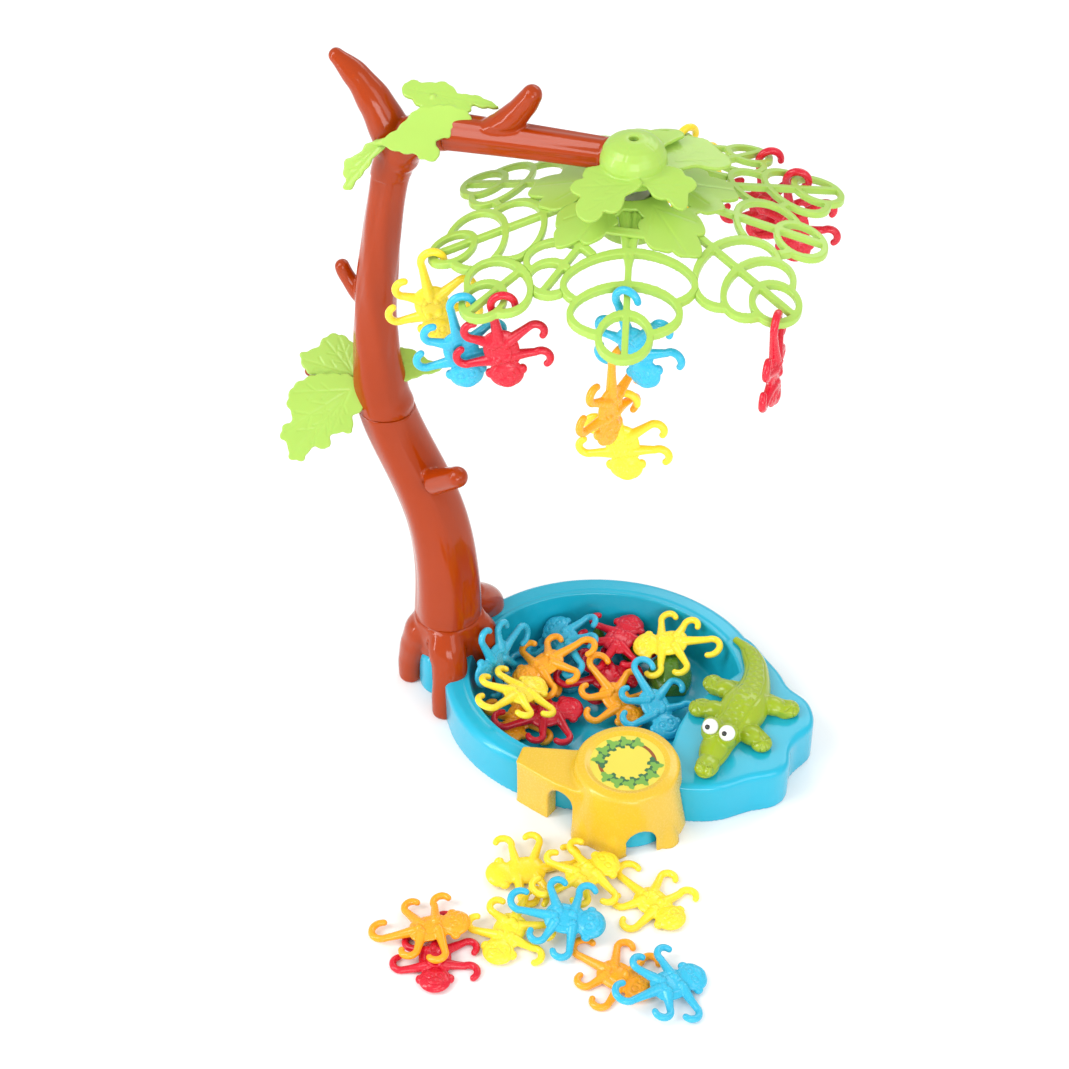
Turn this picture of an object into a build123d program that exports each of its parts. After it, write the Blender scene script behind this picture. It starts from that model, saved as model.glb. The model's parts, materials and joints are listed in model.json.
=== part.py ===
# Balancing tree game: a pond tray with a bank, a tree that stands astride its rim,
# a swivelling leaf crown hung from the branch, and a set of moulded monkeys that
# hook onto the crown and onto each other.
# Units are millimetres. +Z is up, the tray stands on z = 0, the origin is the middle
# of the tray's underside, +X runs from the trunk towards the hub, +Y is the far side.
import os
from math import cos, sin, radians, degrees, atan2, hypot
from build123d import *

os.makedirs("parts", exist_ok=True)

# ---------------------------------------------------------------- tray
RIM_H = 24.0            # height of the rim above the table
POND_C = (-5.0, 9.0)    # centre of the outer ellipse
POND_A, POND_B, POND_ROT = 81.0, 72.5, 13.0
IN_C = (-4.5, 8.2)      # centre of the inner ellipse
IN_A, IN_B = 68.5, 60.5
FLOOR_A, FLOOR_B = 62.0, 54.0
FLOOR_T = 2.0
WALL_T = 2.2
BANK_PTS = [(40, 62), (55, 61.5), (66, 53), (77, 44), (84, 37), (93.5, 32.5), (100, 25), (102.5, 16),
            (99, 5), (97.8, -3), (100, -13), (97, -21.5), (87, -29.5), (78, -38.5), (64, -46.5), (46, -50)]
BANK_INNER = [(43.5, -24), (42.0, -10), (43.0, 5), (49.5, 20), (57, 36)]

# ---------------------------------------------------------------- tree
TRUNK = [(46.0, -86.8, 17.0), (77.0, -86.9, 16.1), (100.0, -89.8, 15.6), (122.0, -96.2, 15.2), (140.0, -104.2, 14.8),
         (155.0, -111.2, 14.4), (168.0, -115.8, 13.8)]
TRUNK_UP = [(168.0, -115.8, 13.8), (180.0, -118.2, 13.0), (205.0, -119.2, 11.0),
            (235.0, -117.6, 9.8), (265.0, -113.8, 9.0), (288.0, -110.0, 8.7)]
HX, HY = 5.0, 0.0       # hub axis
# ---------------------------------------------------------------- crown
CZ = 324.0              # apex height of the crown cone on the hub axis
SLOPE = 0.345
LEAN = 2.3              # the far right side of the crown stands this much higher
LEAN_DIR = 60.0
BAR = 2.8
GZ = 311.0              # height of the tilting joint's centre

# ---------------------------------------------------------------- helpers
def tilt_loc(z):
    """Location on the hub axis at height z, leaning like the crown."""
    a = radians(LEAN_DIR)
    apex = Location((HX, HY, CZ)) * Location((0, 0, 0), (sin(a), -cos(a), 0), LEAN)
    return apex * Location((0, 0, z - CZ))


def crown_shell(lo, hi):
    """Cuts the open part down to the conical sheet between two heights over the crown cone."""
    big = 130.0
    with Locations(tilt_loc(CZ + hi)):
        Cone(big, 0.0, big * SLOPE, align=(Align.CENTER, Align.CENTER, Align.MAX), mode=Mode.INTERSECT)
    with Locations(tilt_loc(CZ + lo)):
        Cone(big, 0.0, big * SLOPE, align=(Align.CENTER, Align.CENTER, Align.MAX), mode=Mode.SUBTRACT)


def frond(theta, discs, spine, fork=None):
    """Adds one frond's bars to the open sketch: nested rings on a radial spine.
    discs: (radial centre, tangential offset, tangential half size, radial half size), largest first."""
    with Locations(Location((0, 0, 0), (0, 0, 1), theta)):
        for c, t, a, b in discs:
            with Locations((c, t)):
                Ellipse(b + BAR / 2, a + BAR / 2)
                Ellipse(b - BAR / 2, a - BAR / 2, mode=Mode.SUBTRACT)
        with Locations(((spine[0] + spine[1]) / 2, 0)):
            Rectangle(spine[1] - spine[0], BAR)
        if fork:
            r, w = fork
            for s in (1, -1):
                Polygon((r, s * 0.2), (r + 1.5, s * 1.4), (15.0, s * (w + 1.2)), (14.2, s * (w - 1.2)), align=None)


FRONDS = {
    "front": [(289.5, [(46.8, 0.5, 26.9, 13.0), (60.7, -0.7, 22.2, 11.7), (72.2, -0.4, 10.4, 10.1)], (38.0, 82.3), (39.0, 4.5))],
    "front_small": [(254.0, [(45.7, -0.4, 17.5, 10.5), (53.3, -1.6, 9.6, 7.6)], (36.0, 60.5), None)],
    "left_front": [(238.0, [(67.4, -0.9, 16.8, 11.0), (75.8, 0.2, 9.5, 8.5)], (57.0, 84.3), None)],
    "left": [(208.0, [(50.2, 2.0, 19.2, 13.1), (65.6, 0.0, 19.1, 12.4), (75.7, 0.4, 9.1, 9.3)], (14.6, 85.0), None)],
    "left_back": [(171.0, [(50.0, 0.0, 19.5, 13.0), (64.5, 0.0, 17.5, 11.5), (74.0, 0.0, 9.6, 9.3)], (14.6, 83.3), None)],
    "back": [(133.0, [(49.0, 0.0, 20.0, 13.0), (62.5, 0.0, 17.5, 11.5), (73.0, 0.0, 9.6, 9.3)], (14.6, 82.3), None),
             (98.0, [(49.0, 0.0, 16.0, 12.0), (62.5, 0.0, 14.5, 11.0), (73.0, 0.0, 9.4, 9.2)], (14.6, 82.2), None)],
    "back_right": [(70.0, [(53.0, 0.0, 14.0, 11.0), (67.0, -1.0, 14.0, 12.0), (79.0, 0.0, 9.2, 9.4)], (14.6, 88.4), None)],
    "right": [(46.0, [(60.0, -1.0, 15.0, 12.0), (77.6, -2.0, 17.2, 12.9), (89.0, -1.0, 10.6, 10.4)], (14.6, 99.4), None),
              (16.5, [(58.0, 0.0, 17.0, 14.0), (71.7, -2.5, 10.6, 10.3)], (14.6, 82.0), None)],
    "front_right": [(342.5, [(56.6, -1.2, 22.6, 13.5), (67.4, -0.6, 19.0, 11.1), (76.7, -1.2, 10.6, 9.2)], (14.6, 85.9), None)],
}

ORDER = ["front", "front_right", "left_front", "front_small", "left", "right", "back_right", "left_back", "back"]


def frond_fill(theta, discs):
    """Adds the filled outline of one frond to the open sketch."""
    with Locations(Location((0, 0, 0), (0, 0, 1), theta)):
        for c, t, a, b in discs:
            with Locations((c, t)):
                Ellipse(b + BAR / 2, a + BAR / 2)


def oblique(x0, y0, z0, r0, x1, y1, z1, r1):
    """Adds a leg or twig: a round bar between two horizontal circles."""
    with BuildSketch(Plane.XY.offset(z0)) as low:
        with Locations((x0, y0)):
            Circle(r0)
    with BuildSketch(Plane.XY.offset(z1)) as high:
        with Locations((x1, y1)):
            Circle(r1)
    loft(sections=[low.sketch, high.sketch])


def bar(p, q, r0, r1, mode=Mode.ADD):
    """Adds a tapered round bar from p to q with a ball at its far end."""
    d = Vector(*q) - Vector(*p)
    pl = Plane(origin=p, z_dir=d)
    with Locations(pl):
        Cone(r0, r1, d.length, align=(Align.CENTER, Align.CENTER, Align.MIN), mode=mode)
    with Locations(q):
        Sphere(r1, mode=mode)


# ---------------------------------------------------------------- pond tray
with BuildPart() as tray_block:
    with BuildSketch(Plane.XY):
        with Locations(Location((POND_C[0], POND_C[1], 0), (0, 0, 1), POND_ROT)):
            Ellipse(POND_A, POND_B)
    extrude(amount=RIM_H)
    fillet(tray_block.edges().group_by(Axis.Z)[-1], 4.0)

with BuildPart() as bank_block:
    with BuildSketch(Plane.XY):
        with BuildLine():
            Spline(*BANK_PTS)
            Polyline(BANK_PTS[-1], *BANK_INNER, BANK_PTS[0])
        make_face()
    extrude(amount=RIM_H)
    outer_top = bank_block.edges().group_by(Axis.Z)[-1].filter_by(lambda e: (e @ 0.5).X > 60)
    fillet(outer_top, 3.0)

with BuildPart() as basin_cut:
    with BuildSketch(Plane.XY.offset(FLOOR_T)):
        with Locations(Location((IN_C[0], IN_C[1], 0), (0, 0, 1), POND_ROT)):
            Ellipse(FLOOR_A, FLOOR_B)
    with BuildSketch(Plane.XY.offset(RIM_H + 2.0)):
        with Locations(Location((IN_C[0], IN_C[1], 0), (0, 0, 1), POND_ROT)):
            Ellipse(IN_A + 0.6, IN_B + 0.6)
    loft()
    # the bank keeps its own ground inside the rim
    with BuildSketch(Plane.XY.offset(-1.0)):
        Polygon((46.0, -70.0), *BANK_INNER, (57.0, 80.0), (120.0, 80.0), (120.0, -70.0), align=None)
    extrude(amount=RIM_H + 6.0, mode=Mode.SUBTRACT)

with BuildPart() as tray_solid:         # the tray with its hollow filled, also used to cut what stands astride it
    add(tray_block.part)
    add(bank_block.part)
    add(basin_cut.part, mode=Mode.SUBTRACT)

with BuildPart() as pond_tray:
    add(tray_solid.part)
    # the rim is hollow from below, with a wall all round
    with BuildSketch(Plane.XY.offset(-1.0)):
        with Locations(Location((POND_C[0], POND_C[1], 0), (0, 0, 1), POND_ROT)):
            Ellipse(POND_A - WALL_T, POND_B - WALL_T)
        with Locations(Location((IN_C[0], IN_C[1], 0), (0, 0, 1), POND_ROT)):
            Ellipse(IN_A + 1.2, IN_B + 1.2, mode=Mode.SUBTRACT)
        Polygon((38.0, -90.0), (38.0, 90.0), (130.0, 90.0), (130.0, -90.0), align=None, mode=Mode.SUBTRACT)
    extrude(amount=RIM_H - WALL_T - 2.0 + 1.0, mode=Mode.SUBTRACT)
    # so is the bank
    with BuildSketch(Plane.XY.offset(-1.0)):
        Polygon((60.0, 46.0), (70.0, 44.0), (80.0, 34.5), (92.0, 28.5), (98.5, 16.0), (95.5, 5.0), (94.5, -4.0),
                (95.5, -12.0), (92.5, -18.0), (83.0, -26.5), (75.0, -34.5), (62.0, -42.0), (49.0, -45.0), (46.6, -24.0),
                (45.2, -10.0), (46.0, 4.0), (52.5, 19.0), (60.5, 36.0), align=None)
    extrude(amount=RIM_H - WALL_T + 1.0, mode=Mode.SUBTRACT)

pond_tray.part.label = "pond_tray"
export_step(pond_tray.part, "parts/pond_tray.step")

# ---------------------------------------------------------------- tree
with BuildPart() as trunk_root:
    oblique(-87.0, 2.0, 0.0, 24.0, -86.8, 0.0, 46.0, 17.6)
    oblique(-105.5, -5.5, 0.0, 10.5, -92.0, -1.0, 43.0, 14.5)      # left foot
    oblique(-80.5, -31.5, 0.0, 9.0, -86.0, -6.0, 40.0, 13.0)       # front foot
    oblique(-80.0, 37.0, 0.0, 9.5, -86.0, 6.0, 40.0, 13.0)         # far foot
    oblique(-65.0, 7.0, 4.0, 9.0, -84.0, 2.0, 41.0, 14.0)          # foot inside the pond
    # open between the feet
    with BuildSketch(Plane.XY.offset(-1)):
        with Locations((-90.0, -22.0), (-92.0, 24.0)):
            Circle(7.5)
    extrude(amount=19.0, mode=Mode.SUBTRACT)
    add(tray_solid.part, mode=Mode.SUBTRACT)
    with BuildSketch(Plane.XY.offset(-1)):                         # nothing under the rim's own wall
        with Locations(Location((POND_C[0], POND_C[1], 0), (0, 0, 1), POND_ROT)):
            Ellipse(POND_A + 0.15, POND_B + 0.15)
        with Locations(Location((IN_C[0], IN_C[1], 0), (0, 0, 1), POND_ROT)):
            Ellipse(FLOOR_A - 1.5, FLOOR_B - 1.5, mode=Mode.SUBTRACT)
    extrude(amount=12.0, mode=Mode.SUBTRACT)
    # socket for the trunk's tenon
    with Locations((-86.8, 0.0, 46.0)):
        Cylinder(10.1, 16.0, align=(Align.CENTER, Align.CENTER, Align.MAX), mode=Mode.SUBTRACT)
trunk_root.part.label = "trunk_root"
export_step(trunk_root.part, "parts/trunk_root.step")

with BuildPart() as trunk_lower:
    for z, x, r in TRUNK:
        with BuildSketch(Plane.XY.offset(z)):
            with Locations((x, 0.0)):
                Circle(r)
    loft()
    with Locations((-86.8, 0.0, 46.0)):
        Cylinder(10.0, 15.0, align=(Align.CENTER, Align.CENTER, Align.MAX))
    bar((-88.0, -8.0, 136.0), (-72.5, -15.0, 149.5), 6.6, 5.2)      # cut twig on the near side
    # socket for the upper trunk's tenon
    with Locations((-115.8, 0.0, 168.0)):
        Cylinder(8.05, 14.0, align=(Align.CENTER, Align.CENTER, Align.MAX), mode=Mode.SUBTRACT)
trunk_lower.part.label = "trunk_lower"
export_step(trunk_lower.part, "parts/trunk_lower.step")

ELBOW = [((-110.0, 0, 288.0), (0.14, 0, 1.0), 8.7), ((-106.5, 0, 304.0), (0.30, 0, 1.0), 9.0),
         ((-100.5, 0, 316.5), (0.80, 0, 1.0), 9.4), ((-91.0, 0, 324.5), (1.0, 0, 0.50), 9.0),
         ((-79.0, 0, 328.0), (1.0, 0, 0.10), 8.5)]
with BuildPart() as trunk_upper:
    for z, x, r in TRUNK_UP[:-1]:
        with BuildSketch(Plane(origin=(x, 0.0, z), x_dir=(0, 1, 0), z_dir=(0, 0, 1))):
            Circle(r)
    for p, d, r in ELBOW:
        with BuildSketch(Plane(origin=p, x_dir=(0, 1, 0), z_dir=d)):
            Circle(r)
    loft()
    bar((-102.5, 0, 316.0), (-118.5, 0, 345.0), 9.0, 6.4)           # horn
    bar((-118.5, 0, 345.0), (-131.5, 0, 353.5), 6.4, 3.6)
    bar((-126.0, 0, 230.0), (-135.5, 0, 243.5), 4.6, 3.8)           # cut twig on the left
    bar((-122.0, -2.0, 176.0), (-153.0, -5.0, 181.0), 4.0, 2.6)     # twig that carries the side leaves
    with Locations((-115.8, 0.0, 168.0)):
        Cylinder(8.0, 13.0, align=(Align.CENTER, Align.CENTER, Align.MAX))
    # socket for the branch's tenon
    with Locations(Plane(origin=(-79.0, 0, 328.0), x_dir=(0, 1, 0), z_dir=(1.0, 0, 0.10))):
        Cylinder(5.05, 12.0, align=(Align.CENTER, Align.CENTER, Align.MAX), mode=Mode.SUBTRACT)
trunk_upper.part.label = "trunk_upper"
export_step(trunk_upper.part, "parts/trunk_upper.step")

BRANCH = [((-79.0, 0, 328.0), (1.0, 0, 0.10), 8.5), ((-60.0, 0, 330.0), (1, 0, 0.09), 8.1),
          ((-35.0, 0, 332.3), (1, 0, 0.08), 7.6), ((0.0, 0, 335.0), (1, 0, 0.0), 7.2)]
HUB_LO, HUB_HI = 326.0, 339.5
with BuildPart() as branch:
    for p, d, r in BRANCH:
        with BuildSketch(Plane(origin=p, x_dir=(0, 1, 0), z_dir=d)):
            Circle(r)
    loft()
    with Locations(Plane(origin=(-79.0, 0, 328.0), x_dir=(0, 1, 0), z_dir=(1.0, 0, 0.10))):
        Cylinder(5.0, 11.0, align=(Align.CENTER, Align.CENTER, Align.MAX))
    bar((-60.0, 0, 331.0), (-46.5, 0, 346.0), 6.2, 5.2)             # twig
    bar((-46.5, 0, 346.0), (-40.5, 0, 355.0), 5.2, 4.4)
    with Locations((HX, HY, HUB_LO)):                               # boss that carries the hanger
        Cylinder(10.5, HUB_HI - HUB_LO, align=(Align.CENTER, Align.CENTER, Align.MIN))
    with BuildSketch(Plane.XY.offset(HUB_LO - 20)):                 # the branch ends flush with the boss underneath
        with Locations((HX, HY)):
            Circle(10.5)
    extrude(amount=20, mode=Mode.SUBTRACT)
    with Locations((HX, HY, HUB_LO)):
        Cylinder(7.5, 8.6, align=(Align.CENTER, Align.CENTER, Align.MIN), mode=Mode.SUBTRACT)
    with Locations((HX, HY, HUB_LO + 8.0)):
        Cylinder(1.25, 8.0, align=(Align.CENTER, Align.CENTER, Align.MIN), mode=Mode.SUBTRACT)
branch.part.label = "branch"
export_step(branch.part, "parts/branch.step")

# ---------------------------------------------------------------- leaves on the tree
def leaf_plane(origin, n):
    n = Vector(*n).normalized()
    xd = Vector(0, 0, 1).cross(n).normalized()
    return Plane(origin=origin, x_dir=xd, z_dir=n)


LEAF_T = 1.8
LEAF_LOW = [(-0.2, 10.0), (5.9, 1.8), (4.9, -5.4), (-0.2, -9.5), (-0.8, -16.6), (-9.8, -17.7), (-11.9, -24.3),
            (-19.7, -24.3), (-23.8, -30.1), (-30.4, -29.1), (-31.2, -22.9), (-34.5, -19.4), (-33.6, -14.1),
            (-28.9, -10.2), (-31.6, -3.1), (-28.9, 4.7), (-22.7, 8.8), (-15.6, 10.9)]
LEAF_HIGH = [(0.3, 1.7), (-13.4, 2.6), (-22.0, 4.1), (-25.8, 9.1), (-26.4, 13.4), (-19.5, 16.8), (-16.1, 22.3),
             (-10.1, 24.6), (-2.2, 20.5), (3.9, 8.2)]
LEAF_FAR = [(-8.5, 11.8), (0.4, 10.8), (5.0, 6.9), (8.1, 4.3), (13.1, 1.3), (10.6, -1.7), (3.6, -2.4), (-4.9, -4.4),
            (-10.5, -2.2)]
with BuildPart() as side_leaves:
    with BuildSketch(leaf_plane((-128, -9, 176), (0.30, -0.72, 0.62))):
        Polygon(*LEAF_LOW, align=None)
    extrude(amount=LEAF_T)
    with BuildSketch(leaf_plane((-130, -6, 180), (0.15, -0.55, 0.82))):
        Polygon(*LEAF_HIGH, align=None)
    extrude(amount=LEAF_T)
    with BuildSketch(leaf_plane((-104, 8, 186), (0.30, -0.45, 0.84))):
        Polygon(*LEAF_FAR, align=None)
    extrude(amount=LEAF_T)
    with BuildSketch(Plane.XY.offset(178.0)):                       # ring that clips round the trunk
        with Locations((-118.6, 0.0)):
            Circle(14.8)
    extrude(amount=7.0)
    add(trunk_upper.part, mode=Mode.SUBTRACT)
side_leaves.part.label = "side_leaves"
export_step(side_leaves.part, "parts/side_leaves.step")

TOP_FRONT = [(1.5, 13.3), (-6.2, 4.4), (-12.3, -0.6), (-11.1, -3.4), (-3.4, -5.7), (3.2, -6.1), (5.2, -7.9), (11.8, -8.0),
             (12.9, -3.6), (11.0, 0.5), (16.5, 2.2), (18.0, 6.0), (24.4, 8.3), (25.0, 12.1), (21.0, 14.6), (13.5, 16.0),
             (7.9, 14.7)]
TOP_BACK = [(-11.7, 0.1), (-8.8, 6.1), (-2.2, 5.4), (7.1, 6.2), (13.4, 0.9), (20.9, 0.4), (30.8, -4.6), (25.4, -5.7),
            (19.8, -5.0), (18.3, -7.9), (8.9, -7.5), (-2.3, -7.2), (-6.4, -4.1)]
TOP_LEFT = [(2.0, 3.6), (-5.3, 0.3), (-8.5, -4.5), (-13.8, -8.1), (-13.9, -13.8), (-12.5, -16.4), (-12.8, -20.2),
            (-9.8, -20.7), (-7.5, -16.6), (-3.6, -10.3), (-0.6, -4.3), (2.8, -0.9)]
with BuildPart() as top_leaves:
    with BuildSketch(leaf_plane((-92, -9, 324), (0.20, -0.70, 0.68))):
        Polygon(*TOP_FRONT, align=None)
    extrude(amount=LEAF_T)
    with BuildSketch(leaf_plane((-90, 4, 341), (0.10, -0.35, 0.93))):
        Polygon(*TOP_BACK, align=None)
    extrude(amount=LEAF_T)
    with BuildSketch(leaf_plane((-108, -8, 318), (0.10, -0.80, 0.60))):
        Polygon(*TOP_LEFT, align=None)
    extrude(amount=LEAF_T)
    bar((-107.0, -8.0, 319.5), (-101.0, -11.6, 323.8), 1.6, 1.5)    # link between the two near leaves
    with Locations(Plane(origin=(-84.0, 0, 327.5), x_dir=(0, 1, 0), z_dir=(1.0, 0, 0.15))):   # sleeve over the joint
        Cylinder(11.6, 11.0)
    add(trunk_upper.part, mode=Mode.SUBTRACT)
    add(branch.part, mode=Mode.SUBTRACT)
    with Locations(Plane(origin=(-79.0, 0, 328.0), x_dir=(0, 1, 0), z_dir=(1.0, 0, 0.10))):
        Cylinder(8.4, 30.0, mode=Mode.SUBTRACT)
top_leaves.part.label = "top_leaves"
export_step(top_leaves.part, "parts/top_leaves.step")

# ---------------------------------------------------------------- hub and hanger
HUB_PLANE = Plane(origin=(HX, HY, 0), x_dir=(1, 0, 0), z_dir=(0, -1, 0))
HUB_AXIS = Axis((HX, HY, 0), (0, 0, 1))


def clover(theta, length, lobe, root=0.42):
    """Adds a three-lobed leaf that points away from the middle of the open sketch."""
    with Locations(Location((0, 0, 0), (0, 0, 1), theta)):
        with Locations((length - lobe, 0)):
            Circle(lobe)
        with Locations((length - 1.95 * lobe, lobe * 0.98), (length - 1.95 * lobe, -lobe * 0.98)):
            Circle(lobe)
        with Locations(((length - lobe) * 0.55, 0)):
            Rectangle((length - lobe) * 0.9, lobe * 1.5)


CAP_LEAVES = [(243.0, 33.0, 7.0), (345.0, 29.0, 6.3), (50.0, 42.0, 9.0), (112.0, 38.0, 8.0)]
with BuildPart() as cap_leaf_sheet:
    with BuildSketch(Plane(origin=(HX, HY, 300.0))):
        for a, l, w in CAP_LEAVES:
            clover(a, l, w)
        Circle(13.0)
        Circle(12.0, mode=Mode.SUBTRACT)
    extrude(amount=40)
    with Locations((HX, HY, 331.6)):
        Cone(100, 0, 20, align=(Align.CENTER, Align.CENTER, Align.MAX), mode=Mode.INTERSECT)
    with Locations((HX, HY, 329.9)):
        Cone(100, 0, 20, align=(Align.CENTER, Align.CENTER, Align.MAX), mode=Mode.SUBTRACT)

with BuildPart() as hub_cap:
    with BuildSketch(HUB_PLANE):
        with BuildLine():
            l1 = Polyline((0, 339.7), (0, 347.2), (3.5, 347.0))
            l2 = Spline((3.5, 347.0), (8.5, 345.2), (12.2, 341.2), (13.9, 335.5), (14.0, 329.0))
            l3 = Polyline((14.0, 329.0), (12.2, 329.0), (12.2, 335.0), (10.8, 339.7), (0, 339.7))
        make_face()
    revolve(axis=HUB_AXIS)
    with Locations((HX, HY, 341.2)):
        Cylinder(2.05, 12.0, align=(Align.CENTER, Align.CENTER, Align.MIN), mode=Mode.SUBTRACT)
    with Locations((HX, HY, 339.0)):
        Cylinder(1.35, 6.0, align=(Align.CENTER, Align.CENTER, Align.MIN), mode=Mode.SUBTRACT)
    add(cap_leaf_sheet.part)
    add(branch.part, mode=Mode.SUBTRACT)
    with Locations((HX - 16.0, HY, 330.0)):                         # the cap drops over the branch from above
        Box(24.0, 14.0, 8.0, mode=Mode.SUBTRACT)
hub_cap.part.label = "hub_cap"
export_step(hub_cap.part, "parts/hub_cap.step")

with BuildPart() as hub_screw:
    with Locations((HX, HY, 341.2)):
        Cylinder(1.9, 1.6, align=(Align.CENTER, Align.CENTER, Align.MIN))
    with Locations((HX, HY, 341.2)):
        Cylinder(1.2, 5.4, align=(Align.CENTER, Align.CENTER, Align.MAX))
    with Locations((HX, HY, 342.8)):
        Box(2.6, 0.5, 1.0, mode=Mode.SUBTRACT)
        Box(0.5, 2.6, 1.0, mode=Mode.SUBTRACT)
hub_screw.part.label = "hub_screw"
export_step(hub_screw.part, "parts/hub_screw.step")

with BuildPart() as hub_bush:                                       # ring pressed in from below, keeps the hanger in
    with Locations((HX, HY, HUB_LO)):
        Cylinder(7.48, 5.0, align=(Align.CENTER, Align.CENTER, Align.MIN))
        Cylinder(2.66, 5.0, align=(Align.CENTER, Align.CENTER, Align.MIN), mode=Mode.SUBTRACT)
hub_bush.part.label = "hub_bush"
export_step(hub_bush.part, "parts/hub_bush.step")

PIN_R, PIN_HOLE = 1.5, 1.55
with BuildPart() as hanger_stud:
    with Locations((HX, HY, 331.3)):
        Cylinder(6.5, 2.9, align=(Align.CENTER, Align.CENTER, Align.MIN))
    with Locations((HX, HY, 317.0)):
        Cylinder(2.6, 14.4, align=(Align.CENTER, Align.CENTER, Align.MIN))
    with Locations((HX, HY, 316.5)):
        Cylinder(7.6, 3.0, align=(Align.CENTER, Align.CENTER, Align.MIN))
    with Locations((HX + 6.4, HY, 312.0), (HX - 6.4, HY, 312.0)):
        Box(2.0, 5.4, 9.2)
    with Locations(Plane(origin=(HX, HY, GZ), z_dir=(1, 0, 0))):
        Cylinder(PIN_HOLE, 20.0, mode=Mode.SUBTRACT)
hanger_stud.part.label = "hanger_stud"
export_step(hanger_stud.part, "parts/hanger_stud.step")

with BuildPart() as hanger_cross:
    with Locations((HX, HY, GZ)):
        Box(7.0, 7.0, 7.0)
    with Locations(Plane(origin=(HX, HY, GZ), z_dir=(1, 0, 0))):
        Cylinder(PIN_R, 15.0)
    with Locations(Plane(origin=(HX, HY, GZ), z_dir=(0, 1, 0))):
        Cylinder(PIN_R, 22.0)
hanger_cross.part.label = "hanger_cross"
export_step(hanger_cross.part, "parts/hanger_cross.step")

# ---------------------------------------------------------------- crown
with BuildPart() as crown_collar:
    with BuildSketch(Plane(origin=(HX, HY, 250.0))):
        Circle(14.5)
        Circle(11.4, mode=Mode.SUBTRACT)
    extrude(amount=90.0)
    crown_shell(-1.5, 1.5)

with BuildPart() as crown_cup:
    with Locations((HX, HY, 301.0)):
        Cylinder(13.4, 18.6, align=(Align.CENTER, Align.CENTER, Align.MIN))
    with Locations((HX, HY, 303.0)):
        Cylinder(11.4, 20.0, align=(Align.CENTER, Align.CENTER, Align.MIN), mode=Mode.SUBTRACT)
    with Locations((HX, HY + 9.4, 308.4), (HX, HY - 9.4, 308.4)):
        Box(6.0, 4.8, 12.8)
    with Locations(Plane(origin=(HX, HY, GZ), z_dir=(0, 1, 0))):
        Cylinder(PIN_HOLE, 40.0, mode=Mode.SUBTRACT)
    add(crown_collar.part)
crown_cup.part.label = "crown_cup"
export_step(crown_cup.part, "parts/crown_cup.step")

with BuildPart() as crown_rosette:
    with BuildSketch(Plane(origin=(HX, HY, 250.0))):
        Circle(16.0)
        for a in (36.0, 108.0, 180.0, 252.0, 324.0):
            clover(a, 46.0, 9.2)
        Circle(11.8, mode=Mode.SUBTRACT)
    extrude(amount=90.0)
    crown_shell(1.5, 3.1)
crown_rosette.part.label = "crown_rosette"
export_step(crown_rosette.part, "parts/crown_rosette.step")

for i, key in enumerate(ORDER):
    with BuildPart() as frond_part:
        with BuildSketch(Plane(origin=(HX, HY, 240.0))):
            for theta, discs, spine, fork in FRONDS[key]:
                frond(theta, discs, spine, fork)
            with BuildSketch(mode=Mode.PRIVATE) as taken:
                Circle(14.5)
                for other in ORDER[:i]:
                    for theta, discs, spine, fork in FRONDS[other]:
                        frond_fill(theta, discs)
            add(taken.sketch, mode=Mode.SUBTRACT)
        extrude(amount=100.0)
        crown_shell(-1.5, 1.5)
    frond_part.part.label = "frond_" + key
    export_step(frond_part.part, "parts/frond_" + key + ".step")

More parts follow.
